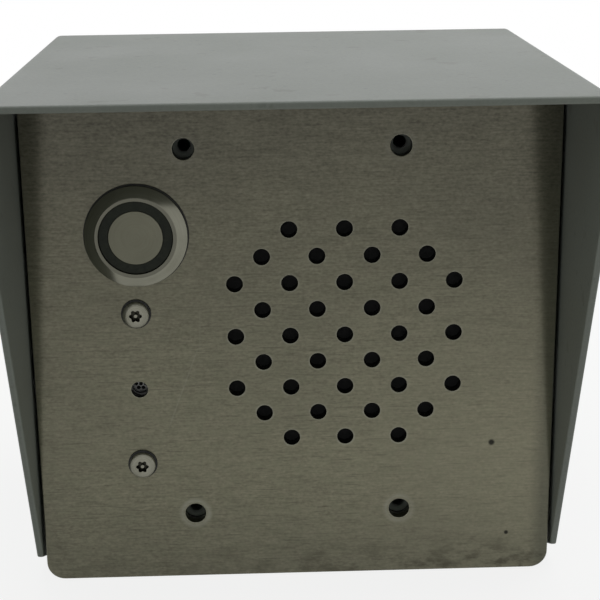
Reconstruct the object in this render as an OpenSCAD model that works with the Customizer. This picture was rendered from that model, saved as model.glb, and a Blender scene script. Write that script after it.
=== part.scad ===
// Outdoor network intercom panel: a brushed steel faceplate with a push button, a microphone and a
// loudspeaker, held on two rails inside a folded sheet-metal weather hood, with its circuit board behind.
// Millimetres, +Z up, the front faces -Y. The origin is the middle of the footprint, on the base plane.
// On the plate, u runs to the right and v runs up from the middle of the fixing holes, and d runs to the
// back from the plate's front face.

/* [Faceplate] */
// Width of the plate
plate_w = 114.4; // [111:0.2:130]
// Height of the plate
plate_h = 112.2; // [111:0.2:125]
// Thickness of the plate
plate_t = 3; // [2:0.5:5]
// Radius of the plate's corners
plate_corner_r = 4; // [2:0.5:8]
// Distance between the fixing holes across the plate
pattern_x = 46.04; // [40:0.02:60]
// Distance between the fixing holes up the plate
pattern_z = 83.34; // [82:0.02:86]
// Height of the middle of the fixing holes above the middle of the plate
pattern_up = 1.1; // [0.5:0.1:1.9]
// Radius of the fixing holes
fixing_r = 2.3; // [2:0.05:3]

/* [Hood] */
// Thickness of the hood's sheet
sheet_t = 1.5; // [1:0.1:2]
// Inner radius of the folds
fold_r = 0.8; // [0.4:0.1:2]
// Gap between the plate and each wing
side_gap = 0.8; // [0.5:0.1:2]
// Gap between the plate and the roof
top_gap = 0.7; // [0.4:0.1:2]
// Length of roof in front of the plate
overhang = 38; // [25:1:45]
// Depth of the hood behind the plate's front face
body_d = 79; // [74:1:110]
// Height of the upright front edge at the top of each wing
brow_h = 15; // [6:1:30]
// Height of the wing's front tip above the base
tip_z = 5.2; // [2:0.2:10]
// Distance of the wing's front tip behind the plate's front face
tip_set = 0.8; // [0.2:0.2:3]
// Distance behind the plate's front face where the wing's lower edge starts
toe_d = 13; // [6:0.5:18]
// Distance between the wall screw holes across the back panel
wall_x = 90; // [60:1:98]
// Distance between the wall screw holes up the back panel
wall_z = 80; // [60:1:84]
// Radius of the wall screw holes
wall_hole_r = 2.75; // [2:0.05:4]
// Radius of the cable hole in the back panel
cable_hole_r = 11; // [9:0.5:14]
// Height of the cable hole above the middle of the fixing holes
cable_v = -18; // [-26:1:10]

/* [Inner sheet pieces] */
// Thickness of the rails and of the bottom cover
inner_t = 1.5; // [1:0.1:2]
// Height of each rail
rail_h = 10; // [9:0.5:17]
// Distance from a rail's inner edge to its row of fixing holes
rail_edge = 4.8; // [4:0.1:5]
// Depth of the rail's end tabs
rail_tab_d = 14; // [10:1:20]
// Radius of the tapped holes in the rails
tap_r = 1.4; // [1.2:0.05:1.95]
// Thickness of the foam strips between plate and rails
strip_t = 1.5; // [0.8:0.1:3]
// Height of the bottom cover's side flanges
cover_flange_h = 13; // [10:0.5:20]
// Radius of the drain holes in the bottom cover
drain_r = 2.5; // [1.5:0.5:4]
// Radius of the side screws
side_screw_r = 1.5; // [1.2:0.1:2]
// Width across the flats of the small nuts
nut_af = 5.5; // [5.2:0.1:6.4]
// Height of the small nuts
nut_h = 2.4; // [1.6:0.1:3]

/* [Sound holes] */
// Position of the middle of the sound holes across the plate
grille_u = 10.9; // [9:0.1:12]
// Step of the diagonal grid, across and up
grille_step = 5.96; // [5:0.02:6]
// Radius of each sound hole
grille_hole_r = 1.78; // [1:0.02:2.2]
// Number of steps from the middle to the outermost rows
grille_rows = 4; // [2:1:4]
// Number of steps across and up together at which the corners are cut off
grille_cut = 6; // [3:1:6]

/* [Push button] */
// Position of the button across the plate
button_u = -33.6; // [-36:0.1:-33]
// Position of the button up the plate
button_v = 23.2; // [22.6:0.1:24]
// Radius of the bezel
bezel_r = 11; // [10.8:0.1:12]
// Height of the bezel in front of the plate
bezel_h = 2.6; // [2.2:0.1:3.2]
// Radius of the bezel's front lip
lip_r = 8.65; // [8.4:0.05:9.2]
// Radius of the well that the button slides in
well_r = 7.95; // [7.4:0.05:8.2]
// Radius of the button's middle disc
cap_r = 5.8; // [4:0.1:6.5]
// Outer radius of the threaded barrel
barrel_r = 9.4; // [9.2:0.1:9.8]
// Depth of the barrel's end behind the plate's front face
barrel_d = 18; // [16:0.5:20]
// Travel of the button
button_travel = 2; // [0.5:0.1:3]
// Width across the flats of the button's nut
button_nut_af = 22; // [21.5:0.1:22.4]
// Height of the button's nut
button_nut_h = 3.5; // [2:0.1:5]

/* [Microphone] */
// Position of the microphone and its screws across the plate
mic_u = -34.4; // [-36:0.1:-33]
// Position of the microphone up the plate
mic_v = -11.75; // [-12.5:0.05:-11]
// Distance between the microphone's two screws
mic_screw_gap = 35; // [33:0.2:35.6]
// Radius of the microphone hole
mic_hole_r = 1.8; // [0.8:0.1:2.4]
// Radius of the microphone capsule
capsule_r = 4.85; // [3:0.05:5.2]
// Height of the microphone capsule
capsule_h = 4.5; // [2:0.1:5]
// Height of the rubber boot round the capsule
boot_h = 6.5; // [6.2:0.1:9]
// Width of the clamp bar behind the boot
mic_bar_w = 10; // [9:0.5:11]
// Radius of the security screws' heads
head_r = 2.85; // [2.5:0.05:3.4]
// Height of the security screws' heads
head_h = 1.65; // [1.2:0.05:2.2]

/* [Loudspeaker] */
// Outer radius of the loudspeaker
speaker_r = 33; // [32.5:0.1:33.5]
// Thickness of the foam seal in front of the loudspeaker
seal_t = 2.5; // [2.3:0.1:3.5]
// Radius of the voice coil's former
coil_r = 6.4; // [6:0.05:6.8]
// Radius of the magnet
magnet_r = 17; // [15.5:0.5:20]
// Height of the magnet
magnet_h = 6; // [4:0.5:8]
// Travel of the cone each way
cone_travel = 0.8; // [0.2:0.1:1]

/* [Circuit board] */
// Width of the board
board_w = 101; // [100:0.5:106]
// Height of the board
board_h = 72; // [71:0.1:72.8]
// Thickness of the board
board_t = 1.6; // [1:0.2:2.4]
// Length of the standoffs
standoff_l = 39; // [37:0.5:44]
// Width across the flats of the standoffs
standoff_af = 5; // [4.5:0.1:5.5]
// Distance of the standoffs from the board's side edges
standoff_side = 4; // [3.5:0.1:5]
// Distance of the standoffs from the board's upper and lower edges
standoff_end = 3.5; // [3.2:0.1:4]
// Width of the network socket's body
jack_w = 16; // [14:0.5:18]
// Length of the network socket's body
jack_l = 21.3; // [18:0.1:24]
// Height of the network socket's body above the board
jack_h = 13.5; // [12:0.1:15]
// Number of ways in the terminal block
terminal_ways = 6; // [2:1:7]
// Travel of the reset plunger
reset_travel = 0.3; // [0.1:0.05:0.5]

/* [Hidden] */
$fn = 64;

// Clearances
fit_gap = 0.05;
slide_gap = 0.1;
cut_over = 1;
thread_out = 0.8;

// Hood
hood_in_w = plate_w + 2 * side_gap;
hood_w = hood_in_w + 2 * sheet_t;
roof_z = plate_h + top_gap;
hood_h = roof_z + sheet_t;
hood_d = overhang + body_d;
back_y = hood_d / 2;
front_y = -hood_d / 2;
face_y = front_y + overhang;
inner_d = body_d - sheet_t;
mid_z = plate_h / 2 + pattern_up;
bushing_wall = 3;
bushing_bore_r = cable_hole_r - bushing_wall;
bushing_lip = 2.5;
bushing_lip_t = 3;

// Rails and bottom cover
rail_d = plate_t + strip_t;
rail_v0 = pattern_z / 2 - rail_edge;
rail_w = hood_in_w - 2 * fit_gap;
tab_hole_set = 5;
rail_screw_v = rail_v0 + rail_h / 2;
strip_inset = 4;
strip_hole_gap = 0.3;
cover_set = 5;
cover_front_d = plate_t + cover_set;
cover_back_d = inner_d - fit_gap;
cover_tab_gap = 1.5;
cover_flange_d = rail_d + rail_tab_d + cover_tab_gap;
cover_hole_set = 8;
cover_hole_v = inner_t + cover_flange_h / 2 - mid_z;
drain_u = 30;
drain_d = 40;

// Side screws: distance behind the plate's face and height of each
side_spots = [
    [rail_d + rail_tab_d - tab_hole_set, rail_screw_v],
    [rail_d + rail_tab_d - tab_hole_set, -rail_screw_v],
    [cover_flange_d + cover_hole_set, cover_hole_v],
    [cover_back_d - cover_hole_set, cover_hole_v]
];
sink_land = 0.25;
sink_h = sheet_t - sink_land;
sink_r = side_screw_r + sink_h;
side_screw_l = sheet_t + inner_t + nut_h + thread_out;
side_socket_r = 1;
side_socket_h = 0.7;

// Sound holes
grille_spots = [
    for (i = [-grille_rows : grille_rows], j = [-grille_rows : grille_rows])
        if ((i + j) % 2 == 0 && abs(i) + abs(j) <= grille_cut)
            [grille_u + i * grille_step, j * grille_step]
];

// Push button
bezel_edge_h = 1.1;
lip_round = 0.2;
barrel_wall = 0.9;
bore_r = barrel_r - barrel_wall;
shoulder_d = 2.9;
barrel_gap = 0.2;
button_hole_r = barrel_r + barrel_gap;
button_seal_h = 0.45;
button_seal_out = 0.25;
washer_t = 0.8;
ring_r = well_r - slide_gap;
ring_sink = 0.35;
cap_sink = 0.25;
cap_t = 2.6;
cap_back_d = cap_t - bezel_h + cap_sink;
spigot_r = 2;
spigot_l = 3.75;
carrier_d = shoulder_d + fit_gap;
carrier_t = 1.3;
carrier_back_d = carrier_d + carrier_t;
stem_r = 2.5;
block_in = 6;
block_d = barrel_d - block_in;
stem_in = 2.5;
stem_end_d = block_d + stem_in;
stem_room = 1;
guide_end_d = stem_end_d + button_travel + stem_room;
block_flange_h = 5;
block_back_d = barrel_d + block_flange_h;
tag_l = 5;
tag_w = 2;
tag_t = 0.6;
tag_u = 3.5;
tag_v = 3;
spring_r = 5;
spring_wire_r = 0.45;
spring_turns = 5;
spring_steps = 8;

// Microphone
mic_screw_vs = [mic_v - mic_screw_gap / 2, mic_v + mic_screw_gap / 2];
screw_r = 1.5;
screw_hole_r = screw_r + slide_gap;
boot_wall = 1.6;
boot_front_t = 1;
mic_bar_d = plate_t + boot_h;
mic_bar_end = 5;
mic_lead_hole_r = 3;
spacer_r = 3;
mic_nut_d = mic_bar_d + inner_t;
torx_end_d = mic_nut_d + nut_h + thread_out;
screw_washer_t = 0.4;
screw_washer_out = 0.4;
screw_washer_r = head_r + screw_washer_out;
socket_r = 1.05;
lobe_r = 0.35;
socket_h = 1.2;
socket_pin_r = 0.42;

// Loudspeaker, measured back from the front face of its flange
flange_d = plate_t + seal_t;
seal_w = 3.5;
mesh_t = 0.3;
basket_t = 1;
flange_w = 5.5;
rim_r = speaker_r - flange_w;
slope_w = 8.1;
ledge_r = rim_r - slope_w;
ledge_s = 7.8;
ledge_w = 3.9;
well_in_r = ledge_r - ledge_w;
floor_s = 13;
gap_w = 0.7;
pole_gap = 0.4;
pole_r = coil_r - pole_gap;
top_plate_in_r = coil_r + gap_w;
top_plate_t = 2;
top_plate_set = 1.5;
top_plate_r = well_in_r - top_plate_set;
magnet_s = floor_s + basket_t + top_plate_t;
magnet_step = 2;
magnet_in_r = top_plate_in_r + magnet_step;
yoke_s = magnet_s + magnet_h;
yoke_step = 1.5;
yoke_r = magnet_r - yoke_step;
yoke_t = 2;
former_t = 0.2;
former_in_r = coil_r - former_t / 2;
former_out_r = coil_r + former_t / 2;
winding_t = 0.3;
winding_over = 0.4;
winding_l = top_plate_t + 2 * cone_travel + winding_over;
winding_s = floor_s + basket_t + (top_plate_t - winding_l) / 2;
former_tail = 0.5;
former_end_s = winding_s + winding_l + former_tail;
roll_w = 3.3;
cone_r = rim_r - roll_w;
cone_lip = 1.3;
cone_t = 0.5;
neck_room = 0.35;
neck_r = former_out_r + fit_gap;
roll_r = 1.5;
surround_t = 0.4;
roll_mid_r = (cone_r + rim_r) / 2;
land_r = speaker_r - seal_w - slide_gap;
spider_t = 0.4;
spider_wave = 0.35;
spider_curls = 3;
curl_steps = 8;
spider_s = ledge_s - spider_t - spider_wave - fit_gap;
spider_set = 0.4;
spider_edge_r = ledge_r - spider_set;
neck_s = spider_s - spider_wave - cone_t - cone_travel - neck_room;
dome_over = 1.6;
dome_r = coil_r + dome_over;
dome_set = 1;
dome_rim_s = neck_s - dome_set;
dome_rise = 2.2;
dome_t = 0.4;
arc_steps = 12;
window_w = 12;
window_s = 1.8;
window_l = 4.6;
clamp_stud_out = 5.5;
clamp_r = speaker_r + clamp_stud_out;
clamp_t = 1.2;
clamp_w = 7;
clamp_gap = 1;
clamp_foot_l = 7;
clamp_tongue = 2.5;
clamp_top_d = flange_d + basket_t + clamp_t;
clamp_stud_l = clamp_top_d - plate_t + nut_h + thread_out;

// Circuit board
board_d = plate_t + standoff_l;
board_back_d = board_d + board_t;
standoff_us = board_w / 2 - standoff_side;
standoff_vs = board_h / 2 - standoff_end;
standoff_spots = [for (s = [-1, 1], t = [-1, 1]) [s * standoff_us, t * standoff_vs]];
clamp_spots = [for (a = [45 : 90 : 315]) [grille_u + clamp_r * cos(a), clamp_r * sin(a)]];
board_stud_l = 6;
board_screw_l = 8;
pan_r = 2.75;
pan_h = 2;
jack_u = -30;
jack_v = 8;
jack_wall = 1.6;
jack_mouth_w = 11.8;
jack_mouth_h = 8.2;
jack_mouth_l = 14;
contact_count = 8;
contact_step = 1.02;
contact_w = 0.5;
contact_h = 0.5;
contact_set = 1;
terminal_step = 5.08;
terminal_block_u = 20;
terminal_block_v = -27;
terminal_block_d = 10;
terminal_block_h = 11;
wire_hole_r = 1.5;
clamp_screw_r = 1.6;
clamp_screw_h = 3;
clamp_screw_sink = 0.5;
transformer_size = [18, 18, 11];
transformer_at = [-6, 22];
processor_size = [14, 14, 1.6];
processor_at = [4, -6];
relay_size = [15.5, 19, 15];
relay_at = [26, 21];
capacitor_r = 4;
capacitor_h = 11.5;
capacitor_step = 10;
capacitor_at = [31, -4];
capacitor_spots = [for (i = [-1 : 1]) [capacitor_at[0] + i * capacitor_step, capacitor_at[1]]];
reset_at = [-41, -20];
reset_size = [6, 6, 3.4];
reset_r = 1.75;
reset_out = 1.2;
reset_well_h = 2;
header_size = [5, 9, 6.5];
header_spots = [[-14, 27], [-42, -22], [9, -29]];

// Wires
lead_r = 0.6;
lead_gap = 0.1;
lead_step = 1.2;
lead_turn = 1;
lead_drop = 4;
lane_near = 1.5;
lane_far = 4;
mic_lead_out = 3;
speaker_lead_out = 4;
speaker_tag_in = 0.8;
header_front_d = board_d - header_size[2];
lead_end_d = header_front_d - lead_gap;

// A point on the plate's axes, in the part's frame
function on_plate(u, v, d) = [u, face_y + d, mid_z + v];

function unit(a) = a / norm(a);
function heading(path, i) = unit(path[min(i + 1, len(path) - 1)] - path[max(i - 1, 0)]);

module place(u, v, d) {
    translate(on_plate(u, v, d))
        children();
}

// A flat outline drawn in u and v, thickened from depth d0 to depth d1
module slab(d0, d1) {
    place(0, 0, d1)
        rotate([90, 0, 0])
            linear_extrude(height = d1 - d0)
                children();
}

// A profile of radius and depth, turned about an axis that runs to the back
module turned(u, v, d) {
    place(u, v, d)
        rotate([-90, 0, 0])
            rotate_extrude()
                children();
}

module rod(u, v, d0, d1, r) {
    place(u, v, d0)
        rotate([-90, 0, 0])
            cylinder(h = d1 - d0, r = r);
}

module tube_ring(u, v, d0, d1, r_in, r_out) {
    turned(u, v, d0)
        translate([r_in, 0])
            square([r_out - r_in, d1 - d0]);
}

module hex(u, v, d0, d1, across_flats, bore) {
    difference() {
        place(u, v, d0)
            rotate([-90, 0, 0])
                cylinder(h = d1 - d0, r = across_flats / 2 / cos(30), $fn = 6);
        rod(u, v, d0 - cut_over, d1 + cut_over, bore);
    }
}

// A block on the board's axes: middle [u, v], size [across, up, deep], from depth d to the back
module block(at, size, d) {
    place(at[0] - size[0] / 2, at[1] - size[1] / 2, d)
        cube([size[0], size[2], size[1]]);
}

module rounded_rect(w, h, r) {
    square([w - 2 * r, h], center = true);
    square([w, h - 2 * r], center = true);
    for (x = [-1, 1], y = [-1, 1])
        translate([x * (w / 2 - r), y * (h / 2 - r)])
            circle(r = r);
}

// A sheet outline that stands on its base line, with two rounded upper corners
module arch(w, h, r) {
    translate([-w / 2, 0])
        square([w, h - r]);
    translate([-w / 2 + r, 0])
        square([w - 2 * r, h]);
    for (x = [-1, 1])
        translate([x * (w / 2 - r), h - r])
            circle(r = r);
}

// A folded sheet's section: an arch with an open base
module folded(w, h, t, r) {
    difference() {
        arch(w, h, r + t);
        translate([0, -cut_over])
            arch(w - 2 * t, h - t + cut_over, r);
    }
}

// A round wire along a path of points
module tube(path, r, side_axis, sides = 6) {
    n = len(path);
    points = [
        for (i = [0 : n - 1])
            let (t = heading(path, i), a = unit(cross(t, side_axis)), b = cross(t, a))
                for (k = [0 : sides - 1])
                    path[i] + r * (cos(360 * k / sides) * a + sin(360 * k / sides) * b)
    ];
    lower = [
        for (i = [0 : n - 2], k = [0 : sides - 1])
            [i * sides + k, (i + 1) * sides + k, i * sides + (k + 1) % sides]
    ];
    upper = [
        for (i = [0 : n - 2], k = [0 : sides - 1])
            [i * sides + (k + 1) % sides, (i + 1) * sides + k, (i + 1) * sides + (k + 1) % sides]
    ];
    first_end = [for (k = [1 : sides - 2]) [0, k, k + 1]];
    last_end = [for (k = [1 : sides - 2]) [(n - 1) * sides, (n - 1) * sides + k + 1, (n - 1) * sides + k]];
    polyhedron(points = points, faces = concat(lower, upper, first_end, last_end));
}

// Children stand with their base on a wing's outer face and point inwards
module at_side(side, d, v) {
    translate([side * hood_w / 2, face_y + d, mid_z + v])
        rotate([0, -90 * side, 0])
            children();
}

module at_side_spots() {
    for (side = [-1, 1], spot = side_spots)
        at_side(side, spot[0], spot[1])
            children();
}

module side_screw_cut() {
    translate([0, 0, -cut_over])
        cylinder(h = cut_over, r = sink_r + fit_gap);
    cylinder(h = sink_h, r1 = sink_r + fit_gap, r2 = side_screw_r + fit_gap);
    cylinder(h = side_screw_l + cut_over, r = side_screw_r + fit_gap);
}

// The hood: roof and two wings, folded from one sheet
module wing_outline() {
    polygon([
        [front_y, hood_h],
        [back_y, hood_h],
        [back_y, 0],
        [face_y + toe_d, 0],
        [face_y + tip_set, tip_z],
        [front_y, hood_h - brow_h]
    ]);
}

module hood() {
    color("#8c908d")
        difference() {
            intersection() {
                translate([0, back_y, 0])
                    rotate([90, 0, 0])
                        linear_extrude(height = hood_d)
                            folded(hood_w, hood_h, sheet_t, fold_r);
                translate([-hood_w / 2, 0, 0])
                    rotate([90, 0, 90])
                        linear_extrude(height = hood_w)
                            wing_outline();
            }
            at_side_spots()
                side_screw_cut();
        }
}

// Back panel, welded in between the wings and under the roof
module back_panel() {
    color("#8c908d")
        slab(inner_d, body_d)
            difference() {
                translate([0, -mid_z])
                    arch(rail_w, roof_z - fit_gap, fold_r);
                for (x = [-1, 1], z = [-1, 1])
                    translate([x * wall_x / 2, z * wall_z / 2])
                        circle(r = wall_hole_r);
                translate([0, cable_v])
                    circle(r = cable_hole_r);
            }
}

// Rails: a front flange with two tapped holes and a tab at each end
module rail(side) {
    color("#868a87")
        difference() {
            place(0, side > 0 ? rail_v0 : -rail_v0 - rail_h, rail_d)
                linear_extrude(height = rail_h)
                    translate([0, rail_tab_d])
                        mirror([0, 1])
                            folded(rail_w, rail_tab_d, inner_t, fold_r);
            at_side_spots()
                side_screw_cut();
            for (x = [-1, 1])
                rod(x * pattern_x / 2, side * pattern_z / 2, rail_d - cut_over, rail_d + inner_t + cut_over,
                    tap_r);
        }
}

module top_rail() {
    rail(1);
}

module bottom_rail() {
    rail(-1);
}

// Bottom cover: a floor with two side flanges and two drain holes
module bottom_cover() {
    color("#7f8380")
        difference() {
            union() {
                place(-rail_w / 2, -mid_z, cover_front_d)
                    cube([rail_w, cover_back_d - cover_front_d, inner_t]);
                place(0, -mid_z, cover_back_d)
                    rotate([90, 0, 0])
                        linear_extrude(height = cover_back_d - cover_flange_d)
                            translate([0, inner_t + cover_flange_h])
                                mirror([0, 1])
                                    folded(rail_w, inner_t + cover_flange_h, inner_t, fold_r);
            }
            at_side_spots()
                side_screw_cut();
            for (x = [-1, 1])
                place(x * drain_u, -mid_z - cut_over, drain_d)
                    cylinder(h = inner_t + 2 * cut_over, r = drain_r);
        }
}

module side_screws() {
    color("#b9bcbd")
        at_side_spots()
            difference() {
                union() {
                    cylinder(h = sink_h, r1 = sink_r, r2 = side_screw_r);
                    cylinder(h = side_screw_l, r = side_screw_r);
                }
                translate([0, 0, -cut_over])
                    cylinder(h = cut_over + side_socket_h, r = side_socket_r, $fn = 6);
            }
}

module side_nuts() {
    color("#b9bcbd")
        at_side_spots()
            translate([0, 0, sheet_t + fit_gap + inner_t])
                difference() {
                    cylinder(h = nut_h, r = nut_af / 2 / cos(30), $fn = 6);
                    translate([0, 0, -cut_over])
                        cylinder(h = nut_h + 2 * cut_over, r = side_screw_r + fit_gap);
                }
}

// Bushing in the back panel's cable hole, flush with the wall side
module cable_bushing() {
    color("#1c1c1d")
        turned(0, cable_v, body_d)
            polygon([
                [bushing_bore_r, 0],
                [cable_hole_r - fit_gap, 0],
                [cable_hole_r - fit_gap, -sheet_t],
                [cable_hole_r + bushing_lip, -sheet_t],
                [cable_hole_r + bushing_lip, -sheet_t - bushing_lip_t],
                [bushing_bore_r, -sheet_t - bushing_lip_t]
            ]);
}

// Foam strips between the plate and the rails
module plate_gaskets() {
    color("#202021")
        slab(plate_t, rail_d)
            for (side = [-1, 1])
                difference() {
                    translate([0, side * rail_screw_v])
                        square([rail_w - 2 * strip_inset, rail_h], center = true);
                    for (x = [-1, 1])
                        translate([x * pattern_x / 2, side * pattern_z / 2])
                            circle(r = fixing_r + strip_hole_gap);
                }
}

// Faceplate with all its holes
module faceplate() {
    color("#a9a49a")
        slab(0, plate_t)
            difference() {
                translate([0, -pattern_up])
                    rounded_rect(plate_w, plate_h, plate_corner_r);
                for (x = [-1, 1], z = [-1, 1])
                    translate([x * pattern_x / 2, z * pattern_z / 2])
                        circle(r = fixing_r);
                for (spot = grille_spots)
                    translate(spot)
                        circle(r = grille_hole_r);
                translate([button_u, button_v])
                    circle(r = button_hole_r);
                translate([mic_u, mic_v])
                    circle(r = mic_hole_r);
                for (v = mic_screw_vs)
                    translate([mic_u, v])
                        circle(r = screw_hole_r);
            }
}

// Studs welded to the back of the plate
module weld_stud(spot, l) {
    rod(spot[0], spot[1], plate_t, plate_t + l, screw_r);
}

module weld_studs() {
    color("#9d9a93") {
        for (spot = clamp_spots)
            weld_stud(spot, clamp_stud_l);
        for (spot = standoff_spots)
            weld_stud(spot, board_stud_l);
    }
}

// Push button
module button_bezel() {
    color("#bdb9b0")
        turned(button_u, button_v, 0)
            polygon([
                [bezel_r, -button_seal_h],
                [bezel_r, -bezel_edge_h],
                [lip_r + lip_round, lip_round / 2 - bezel_h],
                [lip_r, -bezel_h],
                [well_r, -bezel_h],
                [well_r, shoulder_d],
                [bore_r, shoulder_d],
                [bore_r, barrel_d],
                [barrel_r, barrel_d],
                [barrel_r, -button_seal_h]
            ]);
}

module button_cap() {
    color("#b3aea5")
        turned(button_u, button_v, cap_sink - bezel_h)
            polygon([
                [0, 0],
                [cap_r, 0],
                [cap_r, cap_t],
                [spigot_r, cap_t],
                [spigot_r, cap_t + spigot_l],
                [0, cap_t + spigot_l]
            ]);
}

module button_ring() {
    color("#2a2b2c")
        turned(button_u, button_v, 0)
            polygon([
                [cap_r + fit_gap, ring_sink - bezel_h],
                [ring_r, ring_sink - bezel_h],
                [ring_r, carrier_d],
                [spigot_r + fit_gap, carrier_d],
                [spigot_r + fit_gap, cap_back_d],
                [cap_r + fit_gap, cap_back_d]
            ]);
}

module button_carrier() {
    color("#17181a")
        turned(button_u, button_v, 0)
            polygon([
                [spigot_r + fit_gap, carrier_d],
                [bore_r - slide_gap, carrier_d],
                [bore_r - slide_gap, carrier_back_d],
                [stem_r, carrier_back_d],
                [stem_r, stem_end_d],
                [0, stem_end_d],
                [0, cap_back_d + spigot_l + fit_gap],
                [spigot_r + fit_gap, cap_back_d + spigot_l + fit_gap]
            ]);
}

module button_seal() {
    color("#151516")
        tube_ring(button_u, button_v, -button_seal_h, 0, barrel_r + fit_gap, bezel_r + button_seal_out);
}

module button_washer() {
    color("#b0b2b3")
        tube_ring(button_u, button_v, plate_t, plate_t + washer_t, barrel_r + fit_gap, button_nut_af / 2);
}

module button_nut() {
    color("#b6b1a4")
        hex(button_u, button_v, plate_t + washer_t, plate_t + washer_t + button_nut_h, button_nut_af,
            barrel_r + fit_gap);
}

module button_spring() {
    start_d = carrier_back_d + spring_wire_r + fit_gap;
    end_d = block_d - spring_wire_r - fit_gap;
    steps = spring_turns * spring_steps;
    path = [
        for (i = [0 : steps])
            on_plate(
                button_u + spring_r * cos(360 * i / spring_steps),
                button_v + spring_r * sin(360 * i / spring_steps),
                start_d + (end_d - start_d) * i / steps
            )
    ];
    color("#c2c4c6")
        tube(path, spring_wire_r, [0, 1, 0]);
}

module button_contact_block() {
    color("#141516")
        turned(button_u, button_v, 0)
            polygon([
                [stem_r + slide_gap, block_d],
                [bore_r - fit_gap, block_d],
                [bore_r - fit_gap, barrel_d],
                [barrel_r, barrel_d],
                [barrel_r, block_back_d],
                [0, block_back_d],
                [0, guide_end_d],
                [stem_r + slide_gap, guide_end_d]
            ]);
}

module button_terminals() {
    color("#c9b458")
        for (x = [-1, 1], z = [-1, 1])
            block([button_u + x * tag_u, button_v + z * tag_v], [tag_w, tag_t, tag_l], block_back_d);
}

// Microphone
module mic_boot() {
    color("#191919")
        turned(mic_u, mic_v, plate_t)
            polygon([
                [mic_hole_r, 0],
                [capsule_r + boot_wall, 0],
                [capsule_r + boot_wall, boot_h],
                [capsule_r + fit_gap, boot_h],
                [capsule_r + fit_gap, boot_front_t],
                [mic_hole_r, boot_front_t]
            ]);
}

module mic_capsule() {
    color("#a8a9aa")
        rod(mic_u, mic_v, plate_t + boot_front_t, plate_t + boot_front_t + capsule_h, capsule_r);
}

module mic_spacers() {
    color("#3b3c3e")
        for (v = mic_screw_vs)
            tube_ring(mic_u, v, plate_t, mic_bar_d, screw_hole_r, spacer_r);
}

module mic_clamp() {
    color("#9fa3a6")
        slab(mic_bar_d, mic_nut_d)
            difference() {
                translate([mic_u, mic_v])
                    square([mic_bar_w, mic_screw_gap + 2 * mic_bar_end], center = true);
                translate([mic_u, mic_v])
                    circle(r = mic_lead_hole_r);
                for (v = mic_screw_vs)
                    translate([mic_u, v])
                        circle(r = screw_hole_r);
            }
}

module six_lobe() {
    circle(r = socket_r);
    for (a = [0 : 60 : 300])
        rotate(a)
            translate([socket_r, 0])
                circle(r = lobe_r);
}

module torx_screws() {
    head_crown_h = 0.4;
    head_round = 0.45;
    head_front_d = -screw_washer_t - head_h;
    color("#b4b1aa")
        for (v = mic_screw_vs)
            difference() {
                turned(mic_u, v, 0)
                    polygon(concat(
                        [
                            [0, torx_end_d],
                            [screw_r, torx_end_d],
                            [screw_r, -screw_washer_t],
                            [head_r, -screw_washer_t]
                        ],
                        [for (a = [0 : 15 : 90])
                            [
                                head_r - head_round * (1 - cos(a)),
                                head_front_d + head_crown_h * (1 - sin(a))
                            ]],
                        [[0, head_front_d]]
                    ));
                slab(head_front_d - cut_over, head_front_d + socket_h)
                    translate([mic_u, v])
                        difference() {
                            six_lobe();
                            circle(r = socket_pin_r);
                        }
            }
}

module screw_washers() {
    color("#1a1a1b")
        for (v = mic_screw_vs)
            tube_ring(mic_u, v, -screw_washer_t, 0, screw_r + fit_gap, screw_washer_r);
}

module mic_nuts() {
    color("#b9bcbd")
        for (v = mic_screw_vs)
            hex(mic_u, v, mic_nut_d, mic_nut_d + nut_h, nut_af, screw_r + fit_gap);
}

// Loudspeaker
module speaker_turned() {
    turned(grille_u, 0, flange_d)
        children();
}

module speaker_mesh() {
    color("#101011")
        rod(grille_u, 0, plate_t, plate_t + mesh_t, land_r);
}

module speaker_gasket() {
    color("#232324")
        tube_ring(grille_u, 0, plate_t, flange_d, speaker_r - seal_w, speaker_r);
}

module speaker_basket() {
    wall = basket_t;
    color("#5c5f61")
        difference() {
            speaker_turned()
                polygon([
                    [rim_r, 0],
                    [speaker_r, 0],
                    [speaker_r, wall],
                    [rim_r + wall / 2, wall],
                    [ledge_r + wall / 2, ledge_s + wall],
                    [well_in_r + wall, ledge_s + wall],
                    [well_in_r + wall, floor_s + wall],
                    [top_plate_in_r + wall, floor_s + wall],
                    [top_plate_in_r + wall, floor_s],
                    [well_in_r, floor_s],
                    [well_in_r, ledge_s],
                    [ledge_r, ledge_s]
                ]);
            for (a = [0 : 90 : 270])
                place(grille_u, 0, flange_d + window_s)
                    rotate([0, a, 0])
                        translate([ledge_r, 0, -window_w / 2])
                            cube([speaker_r - ledge_r, window_l, window_w]);
        }
}

module speaker_top_plate() {
    color("#8f9294")
        tube_ring(grille_u, 0, flange_d + floor_s + basket_t, flange_d + magnet_s, top_plate_in_r,
            top_plate_r);
}

module speaker_magnet() {
    color("#2e2f31")
        tube_ring(grille_u, 0, flange_d + magnet_s, flange_d + yoke_s, magnet_in_r, magnet_r);
}

module speaker_yoke() {
    color("#8f9294")
        speaker_turned()
            polygon([
                [0, floor_s + basket_t],
                [pole_r, floor_s + basket_t],
                [pole_r, yoke_s],
                [yoke_r, yoke_s],
                [yoke_r, yoke_s + yoke_t],
                [0, yoke_s + yoke_t]
            ]);
}

// Half-roll surround: a land on the flange, a roll to the front and a land on the cone
function roll_arc(r, from, to) = [
    for (i = [0 : arc_steps])
        let (a = from + (to - from) * i / arc_steps)
            [roll_mid_r + r * cos(a), -surround_t / 2 - r * sin(a)]
];

module speaker_surround() {
    color("#1b1b1c")
        speaker_turned()
            polygon(concat(
                [[cone_r - cone_lip, -surround_t], [cone_r - cone_lip, 0]],
                roll_arc(roll_r - surround_t / 2, 180, 0),
                [[land_r, 0], [land_r, -surround_t]],
                roll_arc(roll_r + surround_t / 2, 0, 180)
            ));
}

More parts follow.
